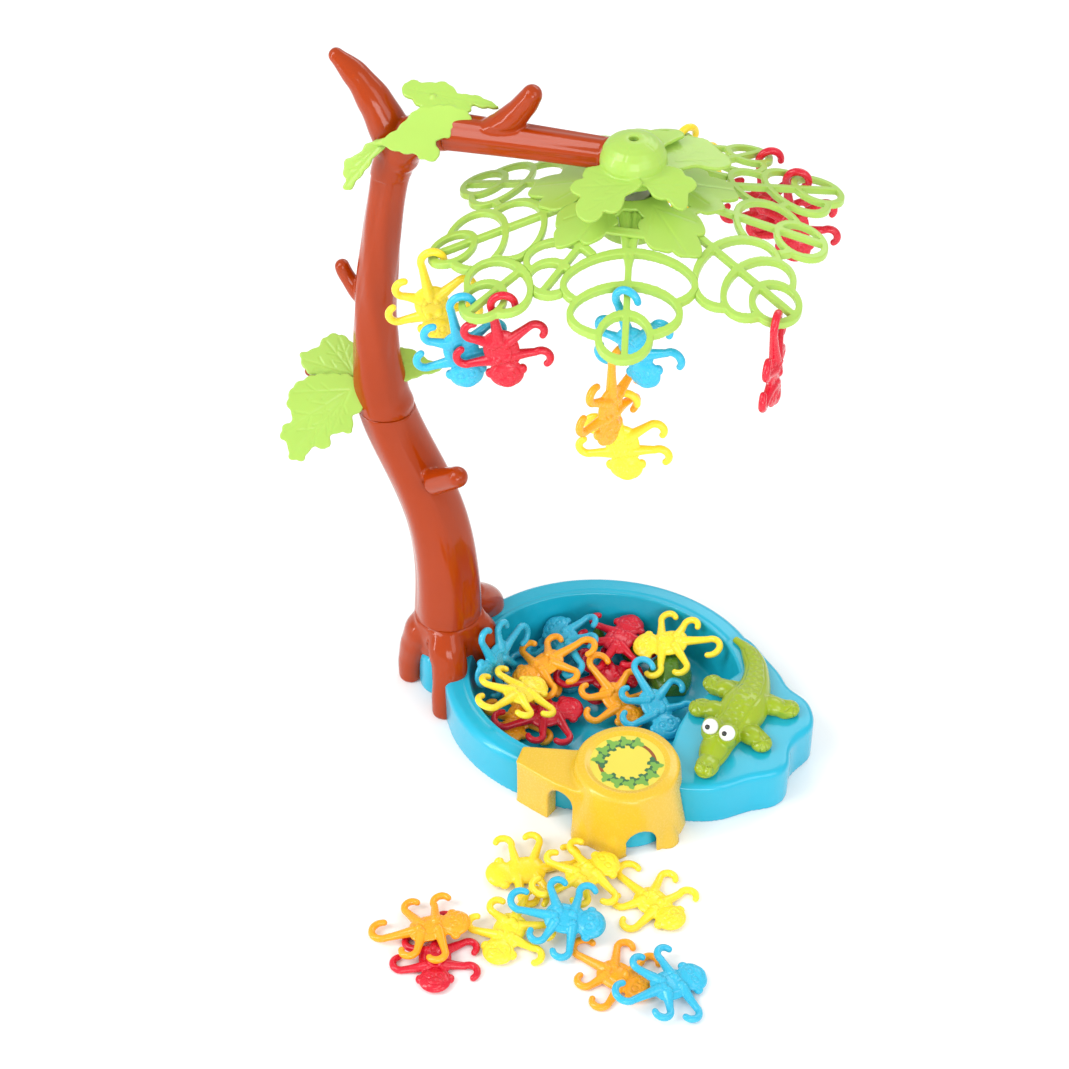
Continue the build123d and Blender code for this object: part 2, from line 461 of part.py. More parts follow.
# ---------------------------------------------------------------- stump cover clipped over the near rim
STUMP = (31.0, -52.0)
STUMP_H = 34.0
with BuildPart() as stump_cover:
    with Locations((STUMP[0], STUMP[1], 0)):
        Cone(30.5, 25.4, STUMP_H, align=(Align.CENTER, Align.CENTER, Align.MIN))
    fillet(stump_cover.edges().group_by(Axis.Z)[-1], 3.0)
    # ledge that rides over the rim beside it
    with BuildSketch(Plane.XY):
        Polygon((-22.0, -56.0), (-21.0, -67.6), (-10.0, -70.6), (2.0, -73.5), (16.0, -75.0), (16.0, -44.0), (8.0, -46.5),
                align=None)
    extrude(amount=28.0)
    # feet that spread at the bottom of the skirt
    for a in (-118.0, -80.0, -22.0):
        ca, sa = cos(radians(a)), sin(radians(a))
        oblique(STUMP[0] + 26.5 * ca, STUMP[1] + 26.5 * sa, 0.0, 7.0, STUMP[0] + 21.5 * ca, STUMP[1] + 21.5 * sa, 20.0, 4.0)
    # hollow
    with Locations((STUMP[0], STUMP[1], -1.0)):
        Cone(28.3, 23.3, STUMP_H - 1.6, align=(Align.CENTER, Align.CENTER, Align.MIN), mode=Mode.SUBTRACT)
    # recess for the label
    with Locations((STUMP[0], STUMP[1], STUMP_H - 0.8)):
        Cylinder(18.3, 5.0, align=(Align.CENTER, Align.CENTER, Align.MIN), mode=Mode.SUBTRACT)
    # the tray passes through underneath
    with BuildSketch(Plane.XY.offset(-1.0)):
        with Locations(Location((POND_C[0], POND_C[1], 0), (0, 0, 1), POND_ROT)):
            Ellipse(POND_A + 0.1, POND_B + 0.1)
        with BuildLine():
            Spline(*BANK_PTS)
            Polyline(BANK_PTS[-1], *BANK_INNER, BANK_PTS[0])
        make_face()
    extrude(amount=RIM_H + 1.0, mode=Mode.SUBTRACT)
    # two arches in the skirt
    with BuildSketch(Plane(origin=(STUMP[0], STUMP[1], 0), x_dir=(sin(radians(53)), cos(radians(53)), 0),
                           z_dir=(cos(radians(53)), -sin(radians(53)), 0))):
        with Locations((0, 0)):
            Rectangle(14.0, 14.0)
        with Locations((0, 7.0)):
            Circle(7.0)
    extrude(amount=45.0, mode=Mode.SUBTRACT)
    with BuildSketch(Plane(origin=(8.0, -60.0, 0), x_dir=(0.97, -0.24, 0), z_dir=(-0.24, -0.97, 0))):
        with Locations((0, 0)):
            Rectangle(13.0, 30.0)
        with Locations((0, 15.0)):
            Ellipse(6.5, 8.0)
    extrude(amount=30.0, mode=Mode.SUBTRACT)
stump_cover.part.label = "stump_cover"
export_step(stump_cover.part, "parts/stump_cover.step")

with BuildPart() as stump_label:
    with Locations((STUMP[0], STUMP[1], STUMP_H - 0.8)):
        Cylinder(18.0, 0.5, align=(Align.CENTER, Align.CENTER, Align.MIN))
stump_label.part.label = "stump_label"
export_step(stump_label.part, "parts/stump_label.step")

# ---------------------------------------------------------------- crocodile on the bank
CROC_TOP = RIM_H
# centre x, y, half width, height above the bank, from the tail tip to the snout
CROC = [(47.5, 57.0, 1.8, 2.0), (56.5, 51.5, 3.8, 3.6), (64.5, 40.5, 6.0, 5.6), (68.3, 26.5, 8.6, 8.0), (69.0, 12.0, 10.6, 9.6),
        (67.2, -1.0, 9.2, 9.0), (65.2, -10.0, 8.2, 8.4), (64.4, -18.0, 7.8, 8.0), (64.8, -27.5, 6.0, 5.6), (65.0, -36.0, 4.6, 4.4)]


def croc_section(i, pts, z):
    a, b = pts[max(i - 1, 0)], pts[min(i + 1, len(pts) - 1)]
    d = Vector(b[0] - a[0], b[1] - a[1], 0).normalized()
    x, y, w, h = pts[i]
    pl = Plane(origin=(x, y, z), x_dir=(-d.Y, d.X, 0), z_dir=d)
    with BuildSketch(pl) as cut:
        Ellipse(w, h)
    return cut.sketch


with BuildPart() as bank_crocodile:
    loft(sections=[croc_section(i, CROC, CROC_TOP + 1.2) for i in range(len(CROC))])
    for x, y, a in ((55.0, 20.5, 8.0), (54.0, 3.0, -6.0), (83.0, 18.5, -8.0), (79.0, -4.5, -35.0)):
        with BuildSketch(Plane.XY.offset(CROC_TOP)):
            with Locations(Location((x, y, 0), (0, 0, 1), a)):
                SlotOverall(18.0, 9.0)
        extrude(amount=5.0)
    with Locations((60.0, -15.5, 30.0), (69.0, -16.5, 30.0)):       # brows under the eyes
        Cylinder(4.6, 5.0, align=(Align.CENTER, Align.CENTER, Align.MIN))
    with Locations((66.0, 10.0, CROC_TOP)):
        Box(90.0, 160.0, 40.0, align=(Align.CENTER, Align.CENTER, Align.MAX), mode=Mode.SUBTRACT)
    with Locations((60.0, -16.0, 35.8), (69.0, -17.0, 35.8)):
        Sphere(4.1, mode=Mode.SUBTRACT)
bank_crocodile.part.label = "bank_crocodile"
export_step(bank_crocodile.part, "parts/bank_crocodile.step")

with BuildPart() as crocodile_eyes:
    with Locations((60.0, -16.0, 35.8), (69.0, -17.0, 35.8)):
        Sphere(4.05)
    with Locations((59.6, -18.8, 38.0), (68.6, -19.8, 38.0)):
        Sphere(1.5, mode=Mode.SUBTRACT)
crocodile_eyes.part.label = "crocodile_eyes"
export_step(crocodile_eyes.part, "parts/crocodile_eyes.step")

with BuildPart() as crocodile_pupils:
    with Locations((59.6, -18.8, 38.0), (68.6, -19.8, 38.0)):
        Sphere(1.45)
crocodile_pupils.part.label = "crocodile_pupils"
export_step(crocodile_pupils.part, "parts/crocodile_pupils.step")

# ---------------------------------------------------------------- crocodile moulding sunk in the pond
POND_CROC = [(14.0, 51.0, 5.0, 4.0), (16.5, 46.5, 9.0, 9.5), (19.0, 40.0, 11.5, 11.5), (22.0, 33.5, 10.5, 9.5), (25.0, 27.5, 7.0, 6.0)]
with BuildPart() as pond_crocodile:
    loft(sections=[croc_section(i, POND_CROC, FLOOR_T + 2.0) for i in range(len(POND_CROC))])   # head
    with Locations((-4.0, 49.0, FLOOR_T + 1.0)):
        Sphere(6.6)                                                 # back
    with Locations((-25.0, 51.0, FLOOR_T)):
        Cone(5.0, 1.6, 10.0, align=(Align.CENTER, Align.CENTER, Align.MIN))   # tail tip
    with Locations((0, 40.0, FLOOR_T)):
        Box(120.0, 90.0, 30.0, align=(Align.CENTER, Align.CENTER, Align.MAX), mode=Mode.SUBTRACT)
pond_crocodile.part.label = "pond_crocodile"
export_step(pond_crocodile.part, "parts/pond_crocodile.step")

# ---------------------------------------------------------------- monkeys: one moulding, 31 pieces
# flat on its back at z = 0 with the face up and the head towards +X
MONKEY_BAR = 3.0
# each limb: where it leaves the body, where its straight part ends, then centre, radius, start angle and sweep of its hook
MONKEY_LIMBS = [((-7.0, -0.2), (-20.306, -0.330), (-21.6, 4.5), 5.0, -75.0, -210.0),
                ((-4.4, 4.4), (-9.753, 13.836), (-6.4, 15.4), 3.7, 205.0, -160.0),
                ((3.5, 4.4), (3.965, 13.752), (7.5, 15.4), 3.9, 205.0, -175.0),
                ((-4.4, -4.4), (-7.026, -11.058), (-10.6, -10.1), 3.7, -15.0, -180.0),
                ((4.4, -4.4), (5.367, -14.391), (1.6, -15.4), 3.9, 15.0, -175.0)]
with BuildPart() as monkey:
    with BuildSketch():
        for p, q, c, r, start, sweep in MONKEY_LIMBS:
            with BuildLine(mode=Mode.PRIVATE) as hook:
                CenterArc(c, r, start, sweep)
            SlotArc(hook.line.edges()[0], MONKEY_BAR)
            turn = degrees(atan2(q[1] - p[1], q[0] - p[0]))
            with Locations(Location(((p[0] + q[0]) / 2, (p[1] + q[1]) / 2, 0), (0, 0, 1), turn)):
                SlotCenterToCenter((Vector(*q) - Vector(*p)).length, MONKEY_BAR)
        Ellipse(7.9, 5.3)
    extrude(amount=3.0)
    with BuildSketch():                                             # belly
        Ellipse(9.2, 6.3)
    extrude(amount=4.4)
    with BuildSketch():                                             # head and ears
        with Locations((12.3, 0)):
            Circle(7.0)
        with Locations((11.4, 6.7), (11.4, -6.7)):
            Circle(2.1)
    extrude(amount=5.0)
    with BuildSketch():                                             # muzzle
        with Locations((15.0, 0)):
            Ellipse(3.5, 4.2)
    extrude(amount=5.8)

# name, place of the moulding's origin, and the axis and angle that it is turned by
MONKEYS = [
    ("monkey_hanging_yellow_left", (-69.5314, -41.5737, 269.115), (0.534639, 0.744061, -0.400667), 101.025),
    ("monkey_hanging_blue_left", (-44.9874, -65.91, 269.106), (0.526066, 0.755615, -0.390257), 100.35),
    ("monkey_hanging_red_front", (-27.0612, -64.0601, 273.522), (0.560755, 0.705802, -0.432894), 103.333),
    ("monkey_hanging_blue_front", (28.2562, -51.0305, 281.463), (0.74696, 0.430965, -0.506281), 110.161),
    ("monkey_hanging_red_right", (79.8952, -34.5179, 272.675), (0.02466, 0.989339, 0.14353), 91.2053),
    ("monkey_hanging_red_back", (56.2519, 67.261, 275.993), (0.602861, 0.632048, -0.486902), 108.104),
    ("monkey_hanging_red_far", (39.188, 78.7367, 275.606), (0.529549, 0.750976, -0.394477), 100.62),
    ("monkey_hanging_yellow_far", (-0.7806, 79.4813, 276.89), (0.34544, 0.920159, -0.184336), 92.0158),
    ("monkey_chain_orange", (17.3547, -56.8601, 251.247), (0.122368, 0.975193, -0.184457), 92.0185),
    ("monkey_chain_yellow", (21.1797, -45.3344, 224.31), (0.604478, 0.628846, -0.489039), 108.321),
    ("monkey_table_yellow_right", (64.6083, -103.088, 0.03), (0, 0, -1), 26.6201),
    ("monkey_table_yellow_back", (2.4554, -108.992, 5.4822), (0.306096, -0.950777, -0.048249), 174.889),
    ("monkey_table_red_left", (-15.4132, -173.136, 0.03), (0, 0, -1), 65.219),
    ("monkey_table_orange_right", (65.0478, -149.589, 0.03), (0, 0, -1), 13.3745),
    ("monkey_table_yellow_front", (9.7051, -146.096, 1.9997), (0.029706, 0.069649, -0.997129), 90.0528),
    ("monkey_table_yellow_middle", (30.2023, -103.703, 5.4121), (0.022044, 0.126552, 0.991715), 59.5734),
    ("monkey_table_orange_left", (-23.3563, -161.201, 4.5463), (-0.055629, -0.193144, 0.979592), 32.4702),
    ("monkey_table_blue_middle", (32.1924, -133.035, 7.3019), (0.70348, 0.3804, 0.600343), 17.6816),
    ("monkey_table_blue_right", (89.511, -148.229, 4.2441), (0.058501, 0.268328, 0.96155), 55.7968),
    ("monkey_pond_blue_bottom", (-34.6069, 26.5075, 2.0599), (0, 0, 1), 29.0779),
    ("monkey_pond_orange_bottom", (-38.8659, -17.2784, 3.5054), (0.026956, 0.044851, -0.99863), 94.3594),
    ("monkey_pond_red_middle", (-8.634, 22.9559, 5.4337), (0.113387, 0.226424, 0.967407), 43.603),
    ("monkey_pond_red_front", (-25.8302, -16.0733, 7.6954), (0.063283, 0.107129, 0.992229), 46.3663),
    ("monkey_pond_red_back", (-11.0272, 45.1768, 11.0819), (0.038892, 0.044292, 0.998261), 84.908),
    ("monkey_pond_orange_middle", (1.8825, 7.6217, 8.2833), (0.064529, 0.53102, -0.844899), 35.8348),
    ("monkey_pond_blue_back", (-35.4436, 32.8132, 12.6692), (-0.158418, -0.175737, 0.971607), 136.909),
    ("monkey_pond_orange_top", (-37.4078, 11.3754, 14.1891), (0.169744, 0.046381, -0.984396), 130.264),
    ("monkey_pond_blue_front", (21.9326, 10.0254, 9.0526), (0.053889, 0.492769, -0.86849), 44.3635),
    ("monkey_pond_yellow_right", (16.42, 47.24, 17.6), (0.122478, 0.109281, -0.986436), 164.344),
    ("monkey_pond_blue_leaning", (-61.55, -1.0041, 23.2843), (-0.428964, 0.59918, -0.675998), 115.684),
    ("monkey_pond_yellow_left", (-38.8964, -20.9335, 22.1083), (-0.08885, 0.285376, 0.954288), 77.1555),
]
for name, place, axis, turn in MONKEYS:
    with BuildPart() as placed:
        with Locations(Location(place) * Location((0, 0, 0), axis, turn)):
            add(monkey.part)
    placed.part.label = name
    export_step(placed.part, "parts/" + name + ".step")
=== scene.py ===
import json
from math import sin, cos, pi, radians, degrees, atan2, hypot, sqrt
import bpy
import bmesh
import numpy as np
from mathutils import Matrix, Vector, Quaternion


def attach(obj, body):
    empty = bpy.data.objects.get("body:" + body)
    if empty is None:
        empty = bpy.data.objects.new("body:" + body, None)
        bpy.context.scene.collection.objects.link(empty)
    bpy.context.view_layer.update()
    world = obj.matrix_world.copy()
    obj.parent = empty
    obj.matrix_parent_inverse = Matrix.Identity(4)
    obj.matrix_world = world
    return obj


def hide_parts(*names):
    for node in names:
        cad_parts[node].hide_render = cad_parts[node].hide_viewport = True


# The balancing tree game: soft moulded surfaces built over the fixed frame. Lengths in the tables are in
# millimetres and are turned into metres where a mesh is made.
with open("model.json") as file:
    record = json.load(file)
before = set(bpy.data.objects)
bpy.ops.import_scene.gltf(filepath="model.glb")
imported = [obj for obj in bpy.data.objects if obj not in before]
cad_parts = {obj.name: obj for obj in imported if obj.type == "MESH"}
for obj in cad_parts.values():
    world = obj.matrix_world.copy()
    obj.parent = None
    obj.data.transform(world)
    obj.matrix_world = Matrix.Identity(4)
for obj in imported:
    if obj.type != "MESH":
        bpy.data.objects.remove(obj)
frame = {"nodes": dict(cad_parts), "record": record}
scene = bpy.context.scene
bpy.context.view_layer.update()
NODES = frame["nodes"]
BODY = {n: b for b, ns in frame["record"]["behaviour"]["bodies"].items() for n in ns}
SLOT = {s["node"]: s["material_slot"] for s in frame["record"]["subparts"]}
MM = 0.001


# ---------------------------------------------------------------- materials
def plastic(name, rgb, rough=0.22, coat=0.6, grain=0.003, scatter=0.08, tint=0.04, spec=0.35):
    """Moulded plastic: faint unevenness in colour and in gloss, and a soft skin that isn't optically flat."""
    mat = bpy.data.materials.new(name)
    mat.use_nodes = True
    nt = mat.node_tree
    bsdf = nt.nodes["Principled BSDF"]
    tex = nt.nodes.new("ShaderNodeTexCoord")
    wide = nt.nodes.new("ShaderNodeTexNoise")
    wide.inputs["Scale"].default_value = 28.0
    wide.inputs["Detail"].default_value = 3.0
    fine = nt.nodes.new("ShaderNodeTexNoise")
    fine.inputs["Scale"].default_value = 900.0
    fine.inputs["Detail"].default_value = 2.0
    nt.links.new(tex.outputs["Object"], wide.inputs["Vector"])
    nt.links.new(tex.outputs["Object"], fine.inputs["Vector"])
    ramp = nt.nodes.new("ShaderNodeValToRGB")
    ramp.color_ramp.elements[0].position = 0.3
    ramp.color_ramp.elements[1].position = 0.7
    ramp.color_ramp.elements[0].color = [c * (1.0 - tint) for c in rgb] + [1.0]
    ramp.color_ramp.elements[1].color = [min(1.0, c * (1.0 + tint)) for c in rgb] + [1.0]
    nt.links.new(wide.outputs["Fac"], ramp.inputs["Fac"])
    nt.links.new(ramp.outputs["Color"], bsdf.inputs["Base Color"])
    gloss = nt.nodes.new("ShaderNodeMapRange")
    gloss.inputs["To Min"].default_value = rough * 0.8
    gloss.inputs["To Max"].default_value = rough * 1.25
    nt.links.new(fine.outputs["Fac"], gloss.inputs["Value"])
    nt.links.new(gloss.outputs["Result"], bsdf.inputs["Roughness"])
    bump = nt.nodes.new("ShaderNodeBump")
    bump.inputs["Strength"].default_value = grain * 4.0
    bump.inputs["Distance"].default_value = 0.00012
    nt.links.new(fine.outputs["Fac"], bump.inputs["Height"])
    nt.links.new(bump.outputs["Normal"], bsdf.inputs["Normal"])
    bsdf.inputs["Specular IOR Level"].default_value = spec
    bsdf.inputs["Coat Weight"].default_value = coat
    bsdf.inputs["Coat Roughness"].default_value = 0.08
    bsdf.inputs["Subsurface Weight"].default_value = scatter
    bsdf.inputs["Subsurface Scale"].default_value = 0.002
    bsdf.inputs["IOR"].default_value = 1.49
    return mat


def metal(name, rgb, rough=0.3):
    mat = bpy.data.materials.new(name)
    mat.use_nodes = True
    nt = mat.node_tree
    bsdf = nt.nodes["Principled BSDF"]
    tex = nt.nodes.new("ShaderNodeTexCoord")
    noise = nt.nodes.new("ShaderNodeTexNoise")
    noise.inputs["Scale"].default_value = 1500.0
    span = nt.nodes.new("ShaderNodeMapRange")
    span.inputs["To Min"].default_value = rough * 0.8
    span.inputs["To Max"].default_value = rough * 1.3
    nt.links.new(tex.outputs["Object"], noise.inputs["Vector"])
    nt.links.new(noise.outputs["Fac"], span.inputs["Value"])
    nt.links.new(span.outputs["Result"], bsdf.inputs["Roughness"])
    bsdf.inputs["Base Color"].default_value = rgb + [1.0]
    bsdf.inputs["Metallic"].default_value = 1.0
    return mat


MATS = {
    "tray_blue": plastic("tray_blue", [0.008, 0.40, 0.58], 0.24, 0.3, scatter=0.0),
    "bark_brown": plastic("bark_brown", [0.345, 0.036, 0.0012], 0.16, 0.22, scatter=0.0, spec=0.22),
    "leaf_green": plastic("leaf_green", [0.36, 0.565, 0.088], 0.34, 0.2, scatter=0.12),
    "stump_yellow": plastic("stump_yellow", [0.70, 0.455, 0.03], 0.26, 0.4),
    "crocodile_green": plastic("crocodile_green", [0.30, 0.41, 0.012], 0.22, 0.45),
    "pond_crocodile_green": plastic("pond_crocodile_green", [0.085, 0.22, 0.018], 0.26),
    "eye_white": plastic("eye_white", [0.86, 0.86, 0.84], 0.2),
    "pupil_black": plastic("pupil_black", [0.012, 0.012, 0.012], 0.15),
    "hanger_white": plastic("hanger_white", [0.78, 0.78, 0.75], 0.3),
    "screw_steel": metal("screw_steel", [0.55, 0.54, 0.52]),
    "label_print": plastic("label_print", [0.70, 0.60, 0.07], 0.5, 0.1),
    "monkey_yellow": plastic("monkey_yellow", [0.92, 0.68, 0.03], 0.26, 0.3, scatter=0.08),
    "monkey_red": plastic("monkey_red", [0.62, 0.006, 0.026], 0.26, 0.3, scatter=0.08),
    "monkey_blue": plastic("monkey_blue", [0.03, 0.44, 0.66], 0.26, 0.3, scatter=0.08),
    "monkey_orange": plastic("monkey_orange", [0.92, 0.36, 0.01], 0.26, 0.3, scatter=0.08),
}
PRINT_LEAF = plastic("print_leaf", [0.17, 0.38, 0.06], 0.5, 0.1)
PRINT_LEAF_DARK = plastic("print_leaf_dark", [0.04, 0.15, 0.06], 0.5, 0.1)
PRINT_TWIG = plastic("print_twig", [0.28, 0.07, 0.015], 0.5, 0.1)


# ---------------------------------------------------------------- mesh helpers
def new_object(name, verts, faces, mat=None, smooth=True):
    me = bpy.data.meshes.new(name)
    me.from_pydata([tuple(float(x) for x in v) for v in verts], [], [tuple(f) for f in faces])
    me.validate()
    ob = bpy.data.objects.new(name, me)
    scene.collection.objects.link(ob)
    if mat:
        me.materials.append(mat)
    if smooth:
        for p in me.polygons:
            p.use_smooth = True
    return ob


def fix_normals(me):
    bm = bmesh.new()
    bm.from_mesh(me)
    bmesh.ops.recalc_face_normals(bm, faces=bm.faces)
    bm.to_mesh(me)
    bm.free()


def baked(ob):
    """Replaces the object's mesh with what its modifiers make of it."""
    bpy.context.view_layer.update()
    dg = bpy.context.evaluated_depsgraph_get()
    me = bpy.data.meshes.new_from_object(ob.evaluated_get(dg))
    old = ob.data
    ob.modifiers.clear()
    ob.data = me
    if old.users == 0:
        bpy.data.meshes.remove(old)
    for p in me.polygons:
        p.use_smooth = True
    return ob


def soften(ob, voxel, smooth=3, hold=True):
    """Remeshes the piece finely and rounds its edges, as a moulding's are."""
    m = ob.modifiers.new("even", "REMESH")
    m.mode = "VOXEL"
    m.voxel_size = voxel * MM
    m.use_smooth_shade = True
    if smooth:
        s = ob.modifiers.new("round", "SMOOTH")
        s.factor = 0.5
        s.iterations = smooth
        if hold:
            t = ob.modifiers.new("hold", "SMOOTH")
            t.factor = -0.52
            t.iterations = max(1, smooth // 2)
            u = ob.modifiers.new("settle", "SMOOTH")
            u.factor = 0.5
            u.iterations = 1
    return baked(ob)


def arrays(me):
    n = len(me.vertices)
    co = np.zeros(n * 3, np.float32)
    me.vertices.foreach_get("co", co)
    no = np.zeros(n * 3, np.float32)
    me.vertex_normals.foreach_get("vector", no)
    return co.reshape(-1, 3).astype(float) / MM, no.reshape(-1, 3).astype(float)


def push(ob, offset, along=None):
    """Moves each vertex along its normal, or along a direction, by offset(co, no) in millimetres."""
    co, no = arrays(ob.data)
    d = offset(co, no)
    way = no if along is None else np.array(along)[None, :]
    out = (co + way * d[:, None]) * MM
    ob.data.vertices.foreach_set("co", out.astype(np.float32).ravel())
    ob.data.update()
    return ob


def copy_node(node, name=None):
    src = NODES[node]
    me = src.data.copy()
    me.materials.clear()
    ob = bpy.data.objects.new(name or "look_" + node, me)
    scene.collection.objects.link(ob)
    bm = bmesh.new()
    bm.from_mesh(me)
    bmesh.ops.remove_doubles(bm, verts=bm.verts, dist=2e-6)
    bmesh.ops.recalc_face_normals(bm, faces=bm.faces)
    bm.to_mesh(me)
    bm.free()
    return ob


def settle(ob, node, mat=None):
    """Hands a finished piece over: its finish, the body it rides, the node it stands for."""
    ob.data.materials.clear()
    ob.data.materials.append(mat or MATS[SLOT[node]])
    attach(ob, BODY[node])
    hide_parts(node)
    return ob


def bevelled(node, width, segments=3, mat=None):
    ob = copy_node(node)
    b = ob.modifiers.new("edges", "BEVEL")
    b.width = width * MM
    b.segments = segments
    b.limit_method = "ANGLE"
    b.angle_limit = radians(35)
    b.harden_normals = False
    baked(ob)
    w = ob.modifiers.new("shade", "WEIGHTED_NORMAL")
    w.keep_sharp = True
    return settle(ob, node, mat)


def gauss(d, w):
    return np.exp(-(d / w) ** 2)


def seg_dist(x, y, a, b):
    ax, ay = a
    bx, by = b
    dx, dy = bx - ax, by - ay
    t = np.clip(((x - ax) * dx + (y - ay) * dy) / (dx * dx + dy * dy), 0, 1)
    return np.hypot(x - ax - t * dx, y - ay - t * dy), t


def ball(name, c, r, seg=48, squash=(1, 1, 1)):
    verts, faces = [], []
    rows = seg // 2
    for i in range(rows + 1):
        for j in range(seg):
            t, p = pi * i / rows, 2 * pi * j / seg
            verts.append((c[0] + r * squash[0] * sin(t) * cos(p), c[1] + r * squash[1] * sin(t) * sin(p),
                          c[2] + r * squash[2] * cos(t)))
    for i in range(rows):
        for j in range(seg):
            k = (j + 1) % seg
            faces.append((i * seg + j, (i + 1) * seg + j, (i + 1) * seg + k, i * seg + k))
    ob = new_object(name, np.array(verts) * MM, faces)
    bm = bmesh.new()
    bm.from_mesh(ob.data)
    bmesh.ops.remove_doubles(bm, verts=bm.verts, dist=1e-6)
    bmesh.ops.recalc_face_normals(bm, faces=bm.faces)
    bm.to_mesh(ob.data)
    bm.free()
    for p in ob.data.polygons:
        p.use_smooth = True
    return ob


def joined(name, obs):
    bm = bmesh.new()
    for o in obs:
        me = o.data.copy()
        me.transform(o.matrix_world)
        bm.from_mesh(me)
        bpy.data.meshes.remove(me)
    out = bpy.data.meshes.new(name)
    bm.to_mesh(out)
    bm.free()
    for o in obs:
        bpy.data.objects.remove(o)
    ob = bpy.data.objects.new(name, out)
    scene.collection.objects.link(ob)
    for p in out.polygons:
        p.use_smooth = True
    return ob


def sweep(name, pts, radii, seg=40, steps=8):
    """A round bar along a smooth path through pts, with a radius at each, closed by rounded ends."""
    P = np.array(pts, float)
    Rr = np.array(radii, float)
    line, rad = [], []
    for i in range(len(P) - 1):
        a, b, c, d = P[max(i - 1, 0)], P[i], P[i + 1], P[min(i + 2, len(P) - 1)]
        for t in np.linspace(0, 1, steps, endpoint=False):
            line.append(0.5 * ((2 * b) + (c - a) * t + (2 * a - 5 * b + 4 * c - d) * t ** 2 + (3 * b - a - 3 * c + d) * t ** 3))
            rad.append(Rr[i] + (Rr[i + 1] - Rr[i]) * (t * t * (3 - 2 * t)))
    line.append(P[-1])
    rad.append(Rr[-1])
    line = np.array(line)
    tang = np.gradient(line, axis=0)
    tang /= np.linalg.norm(tang, axis=1)[:, None]
    side = np.cross(tang[0], [0, 1, 0.01])
    rows = []
    for k in range(len(line)):
        side = side - tang[k] * (side @ tang[k])
        side /= np.linalg.norm(side)
        other = np.cross(tang[k], side)
        ring = [cos(2 * pi * q / seg) * side + sin(2 * pi * q / seg) * other for q in range(seg)]
        if k == 0:
            for w in (0.95, 0.75, 0.4):
                rows.append([line[0] - tang[0] * rad[0] * w + rad[0] * sqrt(1 - w * w) * v for v in ring])
        rows.append([line[k] + rad[k] * v for v in ring])
        if k == len(line) - 1:
            for w in (0.4, 0.75, 0.95):
                rows.append([line[k] + tang[k] * rad[k] * w + rad[k] * sqrt(1 - w * w) * v for v in ring])
    verts = [v for r in rows for v in r]
    faces = [(i * seg + k, i * seg + (k + 1) % seg, (i + 1) * seg + (k + 1) % seg, (i + 1) * seg + k)
             for i in range(len(rows) - 1) for k in range(seg)]
    faces.append(tuple(range(seg))[::-1])
    faces.append(tuple((len(rows) - 1) * seg + k for k in range(seg)))
    ob = new_object(name, np.array(verts) * MM, faces)
    fix_normals(ob.data)
    return ob


def sheet_leaf(name, plane, pts, thick=1.8, lift=0.0, scallop=0.9, period=6.0):
    """A leaf with a rounded, scalloped outline through pts in its plane."""
    o, xd, yd, n = plane
    P = np.array(pts, float)
    out = []
    m = len(P)
    for i in range(m):
        a, b, c, d = P[i - 1], P[i], P[(i + 1) % m], P[(i + 2) % m]
        for t in np.linspace(0, 1, 10, endpoint=False):
            out.append(0.5 * ((2 * b) + (c - a) * t + (2 * a - 5 * b + 4 * c - d) * t ** 2 + (3 * b - a - 3 * c + d) * t ** 3))
    out = np.array(out)
    nxt = np.roll(out, -1, axis=0)
    seg = np.linalg.norm(nxt - out, axis=1)
    s = np.concatenate([[0], np.cumsum(seg)[:-1]])
    total = seg.sum()
    k = max(3, round(total / period))
    tang = np.roll(out, -1, axis=0) - np.roll(out, 1, axis=0)
    tang /= np.linalg.norm(tang, axis=1)[:, None] + 1e-9
    nor = np.c_[tang[:, 1], -tang[:, 0]]
    area = 0.5 * np.sum(out[:, 0] * nxt[:, 1] - nxt[:, 0] * out[:, 1])
    if area < 0:
        nor = -nor
    out = out + nor * (scallop * (np.abs(np.sin(pi * k * s / total)) - 0.75))[:, None]
    c = out.mean(0)
    verts, faces = [], []
    q = len(out)
    for h in (lift + thick, lift):
        for f in (1.0,):
            verts += [o + xd * p[0] + yd * p[1] + n * h for p in out]
    faces.append(tuple(range(q)))
    faces.append(tuple(range(2 * q - 1, q - 1, -1)))
    faces += [(i, q + i, q + (i + 1) % q, (i + 1) % q) for i in range(q)]
    ob = new_object(name, np.array(verts) * MM, faces)
    tri = ob.modifiers.new("tri", "TRIANGULATE")
    baked(ob)
    fix_normals(ob.data)
    return ob


FINE = 1.0

# ---------------------------------------------------------------- tray
apron = sweep("apron", [(31.0, -52.0, 1.5), (31.0, -52.0, 6.0), (31.0, -52.0, 12.5)], [25.6, 25.2, 23.8], 64)
co, no = arrays(apron.data)
co[:, 2] = np.clip(co[:, 2], 0.2, 13.0)
apron.data.vertices.foreach_set("co", (co * MM).astype(np.float32).ravel())
apron.data.update()
lobe = sweep("lobe", [(-88.0, 0, 1.5), (-88.0, 0, 12.0), (-88.0, 0, 21.0)], [13.6, 13.4, 12.8], 64)
co, no = arrays(lobe.data)
co[:, 1] = co[:, 1] * 1.22 - 1.0
co[:, 2] = np.clip(co[:, 2], 0.2, 23.4)
lobe.data.vertices.foreach_set("co", (co * MM).astype(np.float32).ravel())
lobe.data.update()
tray = soften(joined("look_pond_tray", [copy_node("pond_tray"), apron, lobe]), 0.7 * FINE, 4)


